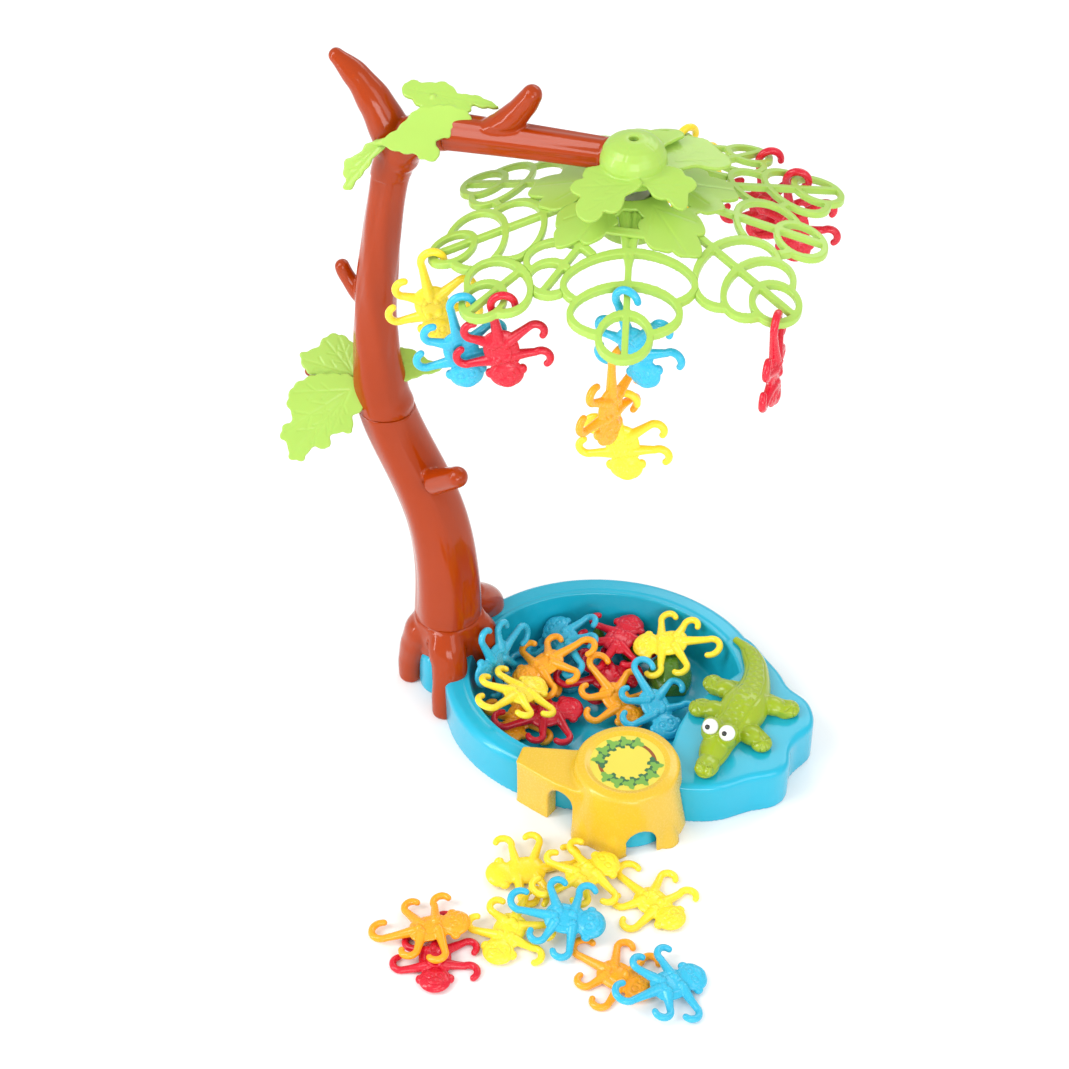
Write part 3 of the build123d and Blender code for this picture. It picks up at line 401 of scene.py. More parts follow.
def tray_shape(co, no):
    x, y, z = co.T
    d = np.zeros(len(x))
    # a soft step round the inside of the rim
    u, v = x + 4.5, y - 8.2
    c, s = cos(radians(13)), sin(radians(13))
    e = np.sqrt(((u * c + v * s) / 68.5) ** 2 + ((-u * s + v * c) / 60.5) ** 2)
    d -= 0.35 * gauss(e - 1.035, 0.012) * (no[:, 2] > 0.5) * (x < 44)
    # shallow ripples in the pond's floor
    r = np.hypot(x - 18, y - 34)
    d += 0.22 * np.sin(r / 3.2) * (no[:, 2] > 0.9) * (z < 4) * (e < 0.86)
    return d


push(tray, tray_shape)
settle(tray, "pond_tray")

# ---------------------------------------------------------------- tree
TRUNK = [(46.0, -86.8), (77.0, -86.9), (100.0, -89.8), (122.0, -96.2), (140.0, -104.2), (155.0, -111.2), (168.0, -115.8),
         (180.0, -118.2), (205.0, -119.2), (235.0, -117.6), (265.0, -113.8), (288.0, -110.0), (304.0, -106.5)]
TZ = np.array([t[0] for t in TRUNK])
TX = np.array([t[1] for t in TRUNK])


def flutes(co, no):
    """Soft lengthwise facets that wander slowly round the trunk."""
    x, y, z = co.T
    cx = np.interp(z, TZ, TX)
    a = np.arctan2(y, x - cx)
    twist = 0.006 * z + 0.5 * np.sin(z / 37.0)
    side = np.clip(1.0 - np.abs(no[:, 2]) * 1.4, 0, 1)
    rad = np.hypot(x - cx, y)
    near = np.clip((19.5 - rad) / 2.0, 0, 1)
    f = -0.42 + 0.42 * np.cos(6 * (a + twist)) - 0.28 * gauss(np.cos(3.0 * (a - 0.7 * twist)) + 1.0, 0.10)
    return f * side * near * 0.9


lower = soften(copy_node("trunk_lower"), 0.7 * FINE, 4)
push(lower, flutes)
settle(lower, "trunk_lower")

stem = sweep("stem", [(-115.8, 0, 168.0), (-118.2, 0, 180.0), (-119.2, 0, 205.0), (-117.6, 0, 235.0), (-113.8, 0, 265.0),
                      (-110.0, 0, 288.0), (-106.5, 0, 304.0), (-100.5, 0, 316.5), (-91.0, 0, 324.5), (-79.5, 0, 327.9)],
             [13.7, 12.9, 11.0, 9.8, 9.0, 8.7, 9.0, 9.4, 9.0, 8.4], 64)
co, no = arrays(stem.data)
co[:, 2] = np.where(co[:, 0] < -100, np.maximum(co[:, 2], 168.0), co[:, 2])
co[:, 0] = np.minimum(co[:, 0], -79.0 + 0.1 * (328.0 - co[:, 2]))
stem.data.vertices.foreach_set("co", (co * MM).astype(np.float32).ravel())
horn = sweep("horn", [(-103.0, 0, 311.0), (-107.5, 0, 323.0), (-113.5, 0, 334.5), (-121.5, 0, 345.0), (-131.0, 0, 353.0)],
             [9.4, 9.0, 7.8, 6.0, 3.5], 48)
stub = sweep("stub", [(-120.0, 0, 225.0), (-126.5, 0, 230.5), (-132.0, 0, 237.5), (-134.5, 0, 243.0)], [6.0, 4.6, 3.9, 3.7], 32)
twig = sweep("twig", [(-118.0, -2.0, 175.5), (-130.0, -3.0, 177.5), (-142.0, -4.0, 179.2), (-153.0, -5.0, 181.0)],
             [4.6, 3.8, 3.2, 2.6], 32)
upper = soften(joined("look_trunk_upper", [stem, horn, stub, twig]), 0.6 * FINE, 8, hold=False)
push(upper, lambda co, no: flutes(co, no) * (co[:, 2] < 300) * 0.7)
settle(upper, "trunk_upper")

legs = [sweep("collar", [(-87.0, 1.0, 18.0), (-87.0, 1.0, 28.0), (-86.8, 0.5, 38.0), (-86.8, 0.0, 45.0)], [15.0, 16.6, 17.6, 16.9], 72)]
for path, radii in ((((-94.0, -3.5, 40.0), (-98.5, -6.0, 33.5), (-102.0, -7.6, 25.0), (-104.6, -8.6, 13.0), (-105.0, -8.8, 1.0)),
                     (9.2, 9.2, 7.6, 6.4, 6.0)),
                    (((-83.5, -9.0, 40.0), (-81.0, -14.5, 34.0), (-77.8, -18.6, 25.0), (-77.6, -23.6, 13.0), (-77.8, -25.4, 1.0)),
                     (9.4, 9.6, 8.8, 7.2, 6.6)),
                    (((-84.5, 14.0, 40.0), (-82.5, 22.0, 34.5), (-80.2, 31.0, 26.5), (-80.5, 33.5, 13.0), (-80.5, 33.8, 1.0)),
                     (9.6, 10.4, 9.4, 7.6, 7.2)),
                    (((-77.5, 2.5, 40.0), (-72.5, 3.6, 33.0), (-68.5, 4.6, 24.0), (-66.5, 5.0, 12.0), (-66.0, 5.0, 1.0)),
                     (9.4, 9.8, 9.0, 8.2, 8.0))):
    legs.append(sweep("leg", path, radii, 40))
root = joined("look_trunk_root", legs)
co, no = arrays(root.data)
co[:, 2] = np.clip(co[:, 2], 0.0, 46.0)
root.data.vertices.foreach_set("co", (co * MM).astype(np.float32).ravel())
root.data.update()
soften(root, 0.8 * FINE, 8, hold=False)


def root_shape(co, no):
    x, y, z = co.T
    a = np.arctan2(y, x + 86.8)
    d = 0.35 * np.cos(9 * a + 0.05 * z) * np.clip(1 - np.abs(no[:, 2]), 0, 1)
    d += 0.3 * gauss(z - 44.5, 1.4)      # lip under the trunk
    return d


push(root, root_shape)
settle(root, "trunk_root")

fork = sweep("fork", [(-70.0, 0, 326.0), (-60.0, 0, 332.0), (-50.5, 0, 340.5), (-44.0, 0, 348.5), (-40.5, 0, 354.5)],
             [5.0, 6.6, 5.9, 5.0, 4.4], 40)
branch = soften(joined("look_branch", [copy_node("branch"), fork]), 0.55 * FINE, 6, hold=False)


def ribs(co, no):
    x, y, z = co.T
    cz = 328.0 + (x + 79.0) * 0.088
    a = np.arctan2(z - cz, y)
    side = np.clip(1.0 - np.abs(no[:, 0]) * 1.4, 0, 1)
    rad = np.hypot(z - cz, y)
    return (-0.35 + 0.35 * np.cos(7 * a + 0.02 * x)) * side * (rad < 10.0) * (x < -8)


push(branch, ribs)
settle(branch, "branch")


# ---------------------------------------------------------------- leaves on the tree
def leaf_plane(origin, n):
    n = Vector(n).normalized()
    xd = Vector((0, 0, 1)).cross(n).normalized()
    yd = n.cross(xd)
    return np.array(origin, float), np.array(xd), np.array(yd), np.array(n)


def veined(ob, leaves, depth=0.42, width=0.55):
    """Presses veins into the leaves: (plane, middle of the fan, tips)."""
    def offset(co, no):
        d = np.zeros(len(co))
        for plane, start, tips in leaves:
            o, xd, yd, n = plane
            r = co - o
            x, y, h = r @ xd, r @ yd, r @ n
            face = (np.abs(no @ n) > 0.75) & (h > -1.2) & (h < 7.0)
            groove = np.zeros(len(co))
            for tip in tips:
                dist, t = seg_dist(x, y, start, tip)
                groove = np.maximum(groove, gauss(dist, width) * (1 - 0.5 * t))
                # side veins
                L = hypot(tip[0] - start[0], tip[1] - start[1])
                ux, uy = (tip[0] - start[0]) / L, (tip[1] - start[1]) / L
                for k in (0.35, 0.6):
                    px, py = start[0] + ux * L * k, start[1] + uy * L * k
                    for s in (1, -1):
                        q = (px + (ux * 0.75 - s * uy * 0.66) * L * 0.2, py + (uy * 0.75 + s * ux * 0.66) * L * 0.2)
                        dist, t = seg_dist(x, y, (px, py), q)
                        groove = np.maximum(groove, 0.6 * gauss(dist, width * 0.8))
            d -= depth * groove * face
        return d
    return push(ob, offset)


LEAF_LOW = [(-0.2, 10.0), (5.9, 1.8), (4.9, -5.4), (-0.2, -9.5), (-0.8, -16.6), (-9.8, -17.7), (-11.9, -24.3),
            (-19.7, -24.3), (-23.8, -30.1), (-30.4, -29.1), (-31.2, -22.9), (-34.5, -19.4), (-33.6, -14.1),
            (-28.9, -10.2), (-31.6, -3.1), (-28.9, 4.7), (-22.7, 8.8), (-15.6, 10.9)]
LEAF_HIGH = [(0.3, 1.7), (-13.4, 2.6), (-22.0, 4.1), (-25.8, 9.1), (-26.4, 13.4), (-19.5, 16.8), (-16.1, 22.3),
             (-10.1, 24.6), (-2.2, 20.5), (3.9, 8.2)]
LEAF_FAR = [(-8.5, 11.8), (0.4, 10.8), (5.0, 6.9), (8.1, 4.3), (13.1, 1.3), (10.6, -1.7), (3.6, -2.4), (-4.9, -4.4), (-10.5, -2.2)]
TOP_FRONT = [(1.5, 13.3), (-6.2, 4.4), (-12.3, -0.6), (-11.1, -3.4), (-3.4, -5.7), (3.2, -6.1), (5.2, -7.9), (11.8, -8.0),
             (12.9, -3.6), (11.0, 0.5), (16.5, 2.2), (18.0, 6.0), (24.4, 8.3), (25.0, 12.1), (21.0, 14.6), (13.5, 16.0), (7.9, 14.7)]
TOP_BACK = [(-11.7, 0.1), (-8.8, 6.1), (-2.2, 5.4), (7.1, 6.2), (13.4, 0.9), (20.9, 0.4), (30.8, -4.6), (25.4, -5.7),
            (19.8, -5.0), (18.3, -7.9), (8.9, -7.5), (-2.3, -7.2), (-6.4, -4.1)]
TOP_LEFT = [(2.0, 3.6), (-5.3, 0.3), (-8.5, -4.5), (-13.8, -8.1), (-13.9, -13.8), (-12.5, -16.4), (-12.8, -20.2),
            (-9.8, -20.7), (-7.5, -16.6), (-3.6, -10.3), (-0.6, -4.3), (2.8, -0.9)]
low_plane = leaf_plane((-128, -9, 176), (0.30, -0.72, 0.62))
high_plane = leaf_plane((-130, -6, 180), (0.15, -0.55, 0.82))
far_plane = leaf_plane((-104, 8, 186), (0.30, -0.45, 0.84))
side = joined("look_side_leaves", [sheet_leaf("low", low_plane, LEAF_LOW), sheet_leaf("high", high_plane, LEAF_HIGH),
                                   sheet_leaf("far", far_plane, LEAF_FAR, scallop=0.5)])
soften(side, 0.4 * FINE, 4)
veined(side, [(low_plane, (-2, 3), [(-10, -16), (-20, -22), (-29, -27), (-32, -16), (-28, 2)]),
              (high_plane, (0, 5), [(-24, 10), (-15, 20), (-9, 22)]),
              (far_plane, (-8, 4), [(10, 1), (2, 8), (2, -2)])], 0.25, 0.7)
settle(side, "side_leaves")
front_plane = leaf_plane((-92, -9, 324), (0.20, -0.70, 0.68))
back_plane = leaf_plane((-90, 4, 341), (0.10, -0.35, 0.93))
left_plane = leaf_plane((-108, -8, 318), (0.10, -0.80, 0.60))
link = sweep("link", [(-108.0, -11.0, 321.5), (-103.0, -12.5, 324.5), (-97.0, -12.0, 327.5)], [1.4, 1.6, 1.4], 20)
stalk = sweep("stalk", [(-88.0, -2.0, 331.0), (-87.5, 0.0, 336.0), (-87.0, 2.5, 341.5)], [2.4, 2.0, 1.6], 20)
top = joined("look_top_leaves", [sheet_leaf("front", front_plane, TOP_FRONT, lift=6.2, scallop=0.7),
                                 sheet_leaf("back", back_plane, TOP_BACK, scallop=0.7),
                                 sheet_leaf("left", left_plane, TOP_LEFT, lift=1.2, scallop=0.6), link, stalk])
soften(top, 0.4 * FINE, 4)
veined(top, [(front_plane, (4, 3), [(-8, -1), (9, -5), (22, 10), (0, 10)]),
             (back_plane, (0, 0), [(-8, 1), (14, -4), (27, -4), (6, 4)]),
             (left_plane, (0, 0), [(-9, -9), (-11, -18)])], 0.25, 0.7)
settle(top, "top_leaves")

# ---------------------------------------------------------------- hub, hanger and crown
HX, HY = 5.0, 0.0


def radial_veins(angles, r0, r1, depth=0.2, width=0.75, zlo=0.0):
    def offset(co, no):
        x, y = co[:, 0] - HX, co[:, 1] - HY
        face = (np.abs(no[:, 2]) > 0.7) & (co[:, 2] > zlo)
        d = np.zeros(len(co))
        for a, length, lobe in angles:
            c, s = cos(radians(a)), sin(radians(a))
            dist, t = seg_dist(x, y, (r0 * c, r0 * s), ((length - 2.5) * c, (length - 2.5) * s))
            g = gauss(dist, width)
            base = length - 1.95 * lobe
            for k in (1, -1):
                q = ((base + 1.0) * c - k * (lobe * 1.35) * s, (base + 1.0) * s + k * (lobe * 1.35) * c)
                p = ((base - lobe * 1.2) * c, (base - lobe * 1.2) * s)
                dist, t = seg_dist(x, y, p, q)
                g = np.maximum(g, 0.8 * gauss(dist, width * 0.9))
            d -= depth * g * face
        return d
    return offset


DOME = [(2.05, 341.2), (2.05, 345.0), (2.5, 345.3), (4.5, 345.3), (7.5, 344.6), (10.4, 343.2), (12.6, 340.9), (13.9, 337.9),
        (14.2, 335.0), (13.6, 332.2), (12.8, 329.8), (12.6, 327.0), (11.4, 327.0), (11.4, 335.0), (10.2, 338.6), (1.4, 339.2), (1.4, 341.2)]


def turned(name, profile, n=144):
    """A closed ring profile turned round the hub's axis."""
    verts = [(HX + r * cos(2 * pi * i / n), HY + r * sin(2 * pi * i / n), z) for r, z in profile for i in range(n)]
    m = len(profile)
    faces = [(k * n + i, k * n + (i + 1) % n, ((k + 1) % m) * n + (i + 1) % n, ((k + 1) % m) * n + i)
             for k in range(m) for i in range(n)]
    ob = new_object(name, np.array(verts) * MM, faces)
    fix_normals(ob.data)
    return ob


HUB_LEFT = [(3.8, 0.4), (0.7, 1.8), (-2.3, 1.2), (-5.1, -0.4), (-8.8, -0.1), (-13.2, 0.4), (-17.0, -0.5), (-20.4, -3.0), (-22.1, -5.4),
            (-20.8, -8.8), (-19.5, -9.7), (-21.4, -11.8), (-21.8, -14.6), (-21.1, -16.8), (-18.4, -18.1), (-15.3, -18.1),
            (-14.1, -18.6), (-13.5, -21.4), (-11.7, -24.5), (-8.6, -26.8), (-4.8, -27.6), (-1.9, -26.8), (-0.3, -24.4),
            (0.0, -21.5), (-0.6, -19.5), (1.6, -19.1), (3.9, -17.6), (4.6, -14.9), (3.5, -11.4), (2.0, -8.6), (2.4, -6.9),
            (3.7, -4.6), (4.1, -2.3)]
HUB_RIGHT = [(1.0, -1.6), (3.7, 0.4), (7.6, 0.6), (12.7, 1.4), (16.3, 2.4), (19.9, 0.2), (21.7, -1.8), (21.9, -4.5), (23.7, -6.3),
             (24.5, -8.6), (24.1, -10.7), (21.9, -12.2), (19.3, -12.9), (17.5, -15.7), (15.8, -18.7), (13.3, -20.1), (11.2, -18.9),
             (9.9, -16.8), (9.2, -13.5), (6.1, -12.0), (4.2, -9.7), (3.9, -6.9), (3.5, -4.6), (2.2, -3.3)]
HUB_BACK = [(3.8, 4.3), (8.1, -3.9), (7.8, -8.0), (4.0, -9.9), (-0.3, -10.3), (-5.5, -12.5), (-9.0, -15.2), (-11.8, -14.5),
            (-13.5, -12.1), (-11.7, -7.8), (-9.4, -2.0), (-8.4, 3.1), (-3.4, 5.5)]
HUB_FAR = [(-9.1, -0.3), (-0.6, 1.1), (7.0, -1.7), (12.6, -6.0), (16.6, -9.2), (17.3, -14.6), (16.7, -18.9), (13.2, -22.4),
           (9.4, -24.9), (6.6, -28.0), (1.2, -29.4), (-3.9, -24.3), (-4.9, -18.6), (-4.7, -14.4), (-8.7, -8.7), (-10.9, -4.5)]
hub_left = leaf_plane((10.6, -13.3, 334.6), (-0.10, -0.30, 0.95))
hub_right = leaf_plane((10.6, -13.3, 334.6), (0.28, -0.24, 0.93))
hub_back = leaf_plane((5.0, 12.0, 337.0), (0.0, 0.06, 0.998))
hub_far = leaf_plane((14.0, 10.7, 334.0), (0.16, 0.06, 0.985))
cap = joined("look_hub_cap", [turned("dome", DOME)] + [
    sheet_leaf("hub_leaf", plane, pts, thick=1.6, lift=-1.6, scallop=0.0)
    for plane, pts in ((hub_left, HUB_LEFT), (hub_right, HUB_RIGHT), (hub_back, HUB_BACK), (hub_far, HUB_FAR))])
soften(cap, 0.38 * FINE, 4)
veined(cap, [(hub_left, (1, -2), [(-18, -5), (-17, -14), (-7, -23), (1, -15)]),
             (hub_right, (3, -3), [(18, 0), (20, -9), (14, -16)]),
             (hub_far, (-4, -6), [(12, -18), (3, -24), (10, -8)])], 0.16, 0.8)


def dome_lines(co, no):
    x, y, z = co[:, 0] - HX, co[:, 1] - HY, co[:, 2]
    r = np.hypot(x, y)
    a = np.arctan2(y, x)
    return (-0.14 * gauss(np.sin(2.5 * a + 0.6), 0.10) * (r > 6) - 0.12 * gauss(r - 7.0, 0.8)) * (r < 14.6) * (z > 336)


push(cap, dome_lines)
settle(cap, "hub_cap")
rosette = soften(copy_node("crown_rosette"), 0.38 * FINE, 3)
co, no = arrays(rosette.data)
px, py = co[:, 0] - HX, co[:, 1] - HY
pr, pa = np.hypot(px, py), np.degrees(np.arctan2(py, px)) % 360.0
grow = np.clip((pr - 17.5) / 12.0, 0, 1)
grow = grow * grow * (3 - 2 * grow)
for mid, turn, scale in ((252.0, -10.0, 0.84), (324.0, 4.0, 0.93)):
    on = (np.abs(pa - mid) < 36.0)
    newr = np.where(on, 17.5 + (pr - 17.5) * (1 - (1 - scale) * grow), pr)
    newr = np.where(pr > 17.5, newr, pr)
    newa = np.where(on & (pr > 17.5), mid + turn * grow + (pa - mid) * (1 - 0.24 * grow), pa)
    drop = -0.345 * (newr - pr)
    pr, pa = newr, newa
    co[:, 2] += drop
wave = 0.8 * np.cos(np.radians(pa) * 25.0) * np.clip((pr - 30.0) / 8.0, 0, 1)
co[:, 2] -= 0.345 * wave
pr = pr + wave
co[:, 0] = HX + pr * np.cos(np.radians(pa))
co[:, 1] = HY + pr * np.sin(np.radians(pa))
rosette.data.vertices.foreach_set("co", (co * MM).astype(np.float32).ravel())
rosette.data.update()
push(rosette, radial_veins([(a, 46.0, 9.2) for a in (36.0, 108.0, 180.0, 252.0, 324.0)], 17.0, 40, zlo=290))
settle(rosette, "crown_rosette")
settle(soften(copy_node("crown_cup"), 0.4 * FINE, 2), "crown_cup")
bevelled("hub_screw", 0.12)
bevelled("hub_bush", 0.25)
bevelled("hanger_stud", 0.4)
bevelled("hanger_cross", 0.35)
for node in sorted(NODES):
    if node.startswith("frond_"):
        parts = [copy_node(node)]
        if node == "frond_front":       # its two stems run in under the rosette
            for a in (283.0, 296.0):
                c0, s0, c1, s1 = cos(radians(a)), sin(radians(a)), cos(radians(289.5)), sin(radians(289.5))
                parts.append(sweep("stem", [(HX + 15 * c0, HY + 15 * s0, 318.0), (HX + 28 * (0.45 * c0 + 0.55 * c1), HY + 28 * (0.45 * s0 + 0.55 * s1), 313.2),
                                            (HX + 41 * c1, HY + 41 * s1, 308.4)], [1.5, 1.5, 1.4], 20))
        settle(soften(joined("look_" + node, parts), 0.36 * FINE, 4), node)

# ---------------------------------------------------------------- stump cover
stump = soften(copy_node("stump_cover"), 0.6 * FINE, 26, hold=False)
SX, SY = 31.0, -52.0


def bark(co, no):
    x, y, z = co.T
    a = np.arctan2(y - SY, x - SX)
    r = np.hypot(x - SX, y - SY)
    side = np.clip(1.0 - np.abs(no[:, 2]) * 1.3, 0, 1) * (r > 20)
    d = (0.35 * np.cos(8 * a + 0.06 * z) - 0.35) * side
    d += 0.45 * gauss(r - 20.6, 1.1) * (no[:, 2] > 0.6) * (z > 30)       # raised ring round the label
    return d


push(stump, bark)
settle(stump, "stump_cover")

# label: a disc with a ring of leaves and twigs printed on it
LZ = 33.7


def disc(name, r, z0, z1, mat):
    n = 96
    rings = [(r * 0.5, z1), (r - 0.15, z1), (r, z1 - 0.1), (r, z0)]
    verts = [(SX, SY, z1)]
    for rr, z in rings:
        verts += [(SX + rr * cos(2 * pi * i / n), SY + rr * sin(2 * pi * i / n), z) for i in range(n)]
    verts.append((SX, SY, z0))
    faces = [(0, 1 + i, 1 + (i + 1) % n) for i in range(n)]
    for k in range(len(rings) - 1):
        b = 1 + k * n
        faces += [(b + i, b + n + i, b + n + (i + 1) % n, b + (i + 1) % n) for i in range(n)]
    b = 1 + (len(rings) - 1) * n
    faces += [(len(verts) - 1, b + (i + 1) % n, b + i) for i in range(n)]
    ob = new_object(name, np.array(verts) * MM, faces, mat, smooth=False)
    fix_normals(ob.data)
    return ob


label = disc("look_stump_label", 18.0, 33.2, LZ, MATS["label_print"])
settle(label, "stump_label")


def flat_shape(name, outlines, z, mat, thick=0.06):
    """Printed shapes: thin filled outlines just over the label."""
    verts, faces = [], []
    for pts in outlines:
        b = len(verts)
        n = len(pts)
        cx, cy = sum(p[0] for p in pts) / n, sum(p[1] for p in pts) / n
        verts += [(cx, cy, z)] + [(p[0], p[1], z) for p in pts] + [(p[0], p[1], z - thick) for p in pts]
        faces += [(b, b + 1 + i, b + 1 + (i + 1) % n) for i in range(n)]
        faces += [(b + 1 + i, b + 1 + n + i, b + 1 + n + (i + 1) % n, b + 1 + (i + 1) % n) for i in range(n)]
    ob = new_object(name, np.array(verts) * MM, faces, mat, smooth=False)
    fix_normals(ob.data)
    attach(ob, BODY["stump_label"])
    return ob


def printed_leaf(cx, cy, a, s):
    pts = []
    for i in range(40):
        t = 2 * pi * i / 40
        r = s * (0.72 + 0.28 * cos(3 * t) + 0.06 * cos(12 * t))
        x, y = r * cos(t) * 1.1, r * sin(t)
        pts.append((cx + x * cos(a) - y * sin(a), cy + x * sin(a) + y * cos(a)))
    return pts


light_leaves, dark_leaves, twigs = [], [], []
for i in range(14):
    a = 2 * pi * (i + 0.5) / 14
    if i in (1, 2, 8):
        continue
    light_leaves.append(printed_leaf(SX + 13.9 * cos(a), SY + 13.9 * sin(a), a + 0.4, 3.4))
    a2 = a + pi / 14
    dark_leaves.append(printed_leaf(SX + 12.3 * cos(a2), SY + 12.3 * sin(a2), a2 - 0.5, 3.2))
for i in range(7):
    a0 = 2 * pi * i / 7
    arc = [(SX + 12.6 * cos(a0 + t), SY + 12.6 * sin(a0 + t)) for t in np.linspace(0, 0.9, 14)]
    back = [(SX + 14.2 * cos(a0 + t), SY + 14.2 * sin(a0 + t)) for t in np.linspace(0.9, 0, 14)]
    twigs.append(arc + back)


def ribbon(outlines, name, z, mat):
    verts, faces = [], []
    for pts in outlines:
        b = len(verts)
        n = len(pts)
        verts += [(p[0], p[1], z) for p in pts]
        h = n // 2
        faces += [(b + i, b + i + 1, b + n - 2 - i, b + n - 1 - i) for i in range(h - 1)]
    ob = new_object(name, np.array(verts) * MM, faces, mat, smooth=False)
    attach(ob, BODY["stump_label"])
    return ob


ribbon(twigs, "label_twigs", LZ + 0.03, PRINT_TWIG)
flat_shape("label_leaves_dark", dark_leaves, LZ + 0.07, PRINT_LEAF_DARK)
flat_shape("label_leaves_light", light_leaves, LZ + 0.12, PRINT_LEAF)

# ---------------------------------------------------------------- crocodiles
CROC = np.array([(47.5, 57.0, 1.8), (56.5, 51.5, 3.8), (64.5, 40.5, 6.0), (68.3, 26.5, 8.6), (69.0, 12.0, 10.6),
                 (67.2, -1.0, 9.2), (65.2, -10.0, 8.2), (64.4, -18.0, 7.8), (64.8, -27.5, 6.0), (65.0, -36.0, 4.6)])


def spine_coords(x, y, pts):
    """Distance along a polyline and signed distance to its side."""
    best = np.full(len(x), 1e9)
    s_out = np.zeros(len(x))
    t_out = np.zeros(len(x))
    run = 0.0
    for a, b in zip(pts[:-1], pts[1:]):
        dx, dy = b[0] - a[0], b[1] - a[1]
        L = hypot(dx, dy)
        t = np.clip(((x - a[0]) * dx + (y - a[1]) * dy) / L ** 2, 0, 1)
        px, py = a[0] + t * dx, a[1] + t * dy
        d = np.hypot(x - px, y - py)
        sgn = np.sign((x - a[0]) * dy - (y - a[1]) * dx)
        near = d < best
        best = np.where(near, d, best)
        s_out = np.where(near, run + t * L, s_out)
        t_out = np.where(near, sgn * d, t_out)
        run += L
    return s_out, t_out


bits = [copy_node("bank_crocodile")]
bits.append(ball("plump", (68.6, 10.0, 27.0), 1.0, 48, (12.0, 17.0, 8.6)))
for fx, fy, a in ((48.6, 21.2, 172), (48.0, 2.4, 174), (89.0, 19.2, -8), (84.0, -8.2, -38)):
    bits.append(ball("paw", (fx, fy, 26.6), 1.0, 32, (5.4, 5.6, 3.4)))
    mx, my = 0.5 * fx + 0.5 * 68.5, fy * 0.8 + 0.2 * 8
    bits.append(ball("thigh", (0.62 * fx + 0.38 * 68.5, fy * 0.85 + 0.15 * 8, 27.2), 1.0, 32, (6.6, 5.4, 4.6)))
bits.append(ball("snout", (64.9, -32.5, 26.8), 1.0, 40, (5.9, 8.2, 4.0)))
bits.append(ball("nose", (62.6, -37.6, 28.2), 1.0, 32, (2.7, 2.6, 2.6)))
bits.append(ball("nose", (67.0, -38.0, 28.2), 1.0, 32, (2.7, 2.6, 2.6)))
bits.append(ball("brow", (60.2, -13.4, 34.4), 1.0, 32, (4.9, 4.2, 4.4)))
bits.append(ball("brow", (69.0, -14.4, 34.4), 1.0, 32, (4.9, 4.2, 4.4)))
croc = joined("look_bank_crocodile", bits)
co, no = arrays(croc.data)
co[:, 2] = np.maximum(co[:, 2], 23.6)
croc.data.vertices.foreach_set("co", (co * MM).astype(np.float32).ravel())
soften(croc, 0.45 * FINE, 9, hold=False)


def scales(co, no):
    x, y, z = co.T
    s, t = spine_coords(x, y, CROC)
    up = np.clip((no[:, 2] - 0.15) / 0.5, 0, 1)
    back = (s > 8) & (s < 78)
    w = np.interp(s, [0, 20, 50, 80, 95], [2.5, 5.0, 8.5, 7.0, 5.0])
    d = np.zeros(len(x))
    # two rows of raised knobs beside the spine and one row over it
    for row, amp in ((0.0, 0.55), (0.42, 0.5), (-0.42, 0.5)):
        knob = gauss(t / w - row, 0.13) * np.clip(np.cos((s + (2.4 if row else 0.0)) * 2 * pi / 4.8), 0, 1)
        d += amp * knob * up * back
    d -= 0.35 * gauss(np.abs(t / w) - 0.72, 0.06) * up * back
    # mouth line round the snout and two nostrils
    snout = s > 84
    d -= 0.5 * gauss(z - 27.2, 0.5) * snout * (np.abs(no[:, 2]) < 0.8)
    for px, py in ((62.4, -36.5), (67.0, -36.7)):
        r = np.hypot(x - px, y - py)
        d += (0.8 * gauss(r - 1.3, 0.6) - 0.7 * gauss(r, 0.7)) * (z > 27)
    # toes
    for fx, fy, a in ((46.5, 21.5, 172), (46.0, 2.2, 174), (91.0, 19.0, -8), (85.5, -9.5, -38)):
        rx, ry = x - fx, y - fy
        ang = np.arctan2(ry, rx) - radians(a)
        d -= 0.7 * gauss(np.sin(3.2 * ang), 0.22) * (np.hypot(rx, ry) < 5.2) * (z > 25.0) * (np.hypot(rx, ry) > 0.6)
    return d


push(croc, scales)
settle(croc, "bank_crocodile")


eyes = joined("look_crocodile_eyes", [ball("eye_a", (60.0, -16.0, 35.8), 4.0), ball("eye_b", (69.0, -17.0, 35.8), 4.0)])
settle(eyes, "crocodile_eyes")
pupils = joined("look_crocodile_pupils", [ball("pupil_a", (59.5, -18.9, 38.1), 1.3), ball("pupil_b", (68.5, -19.9, 38.1), 1.3)])
settle(pupils, "crocodile_pupils")

POND_CROC = [(14.0, 51.0), (16.5, 46.5), (19.0, 40.0), (22.0, 33.5), (25.0, 27.5)]
pond = soften(copy_node("pond_crocodile"), 0.45 * FINE, 5)


def pond_scales(co, no):
    x, y, z = co.T
    s, t = spine_coords(x, y, POND_CROC)
    up = np.clip(no[:, 2], 0, 1)
    head = (x > 5)
    d = 0.9 * (gauss(t - 3.4, 1.3) + gauss(t + 3.4, 1.3)) * up * head * (s > 4) * (s < 24)
    d += 0.5 * np.clip(np.cos(s * 2 * pi / 4.0), 0, 1) * gauss(t, 1.0) * up * head * (s < 18)
    r = np.hypot(x + 4, y - 49)
    d += 0.5 * np.clip(np.cos(x * 2 * pi / 3.6) * np.cos(y * 2 * pi / 3.6), 0, 1) * (r < 7) * up
    return d


push(pond, pond_scales)
settle(pond, "pond_crocodile")

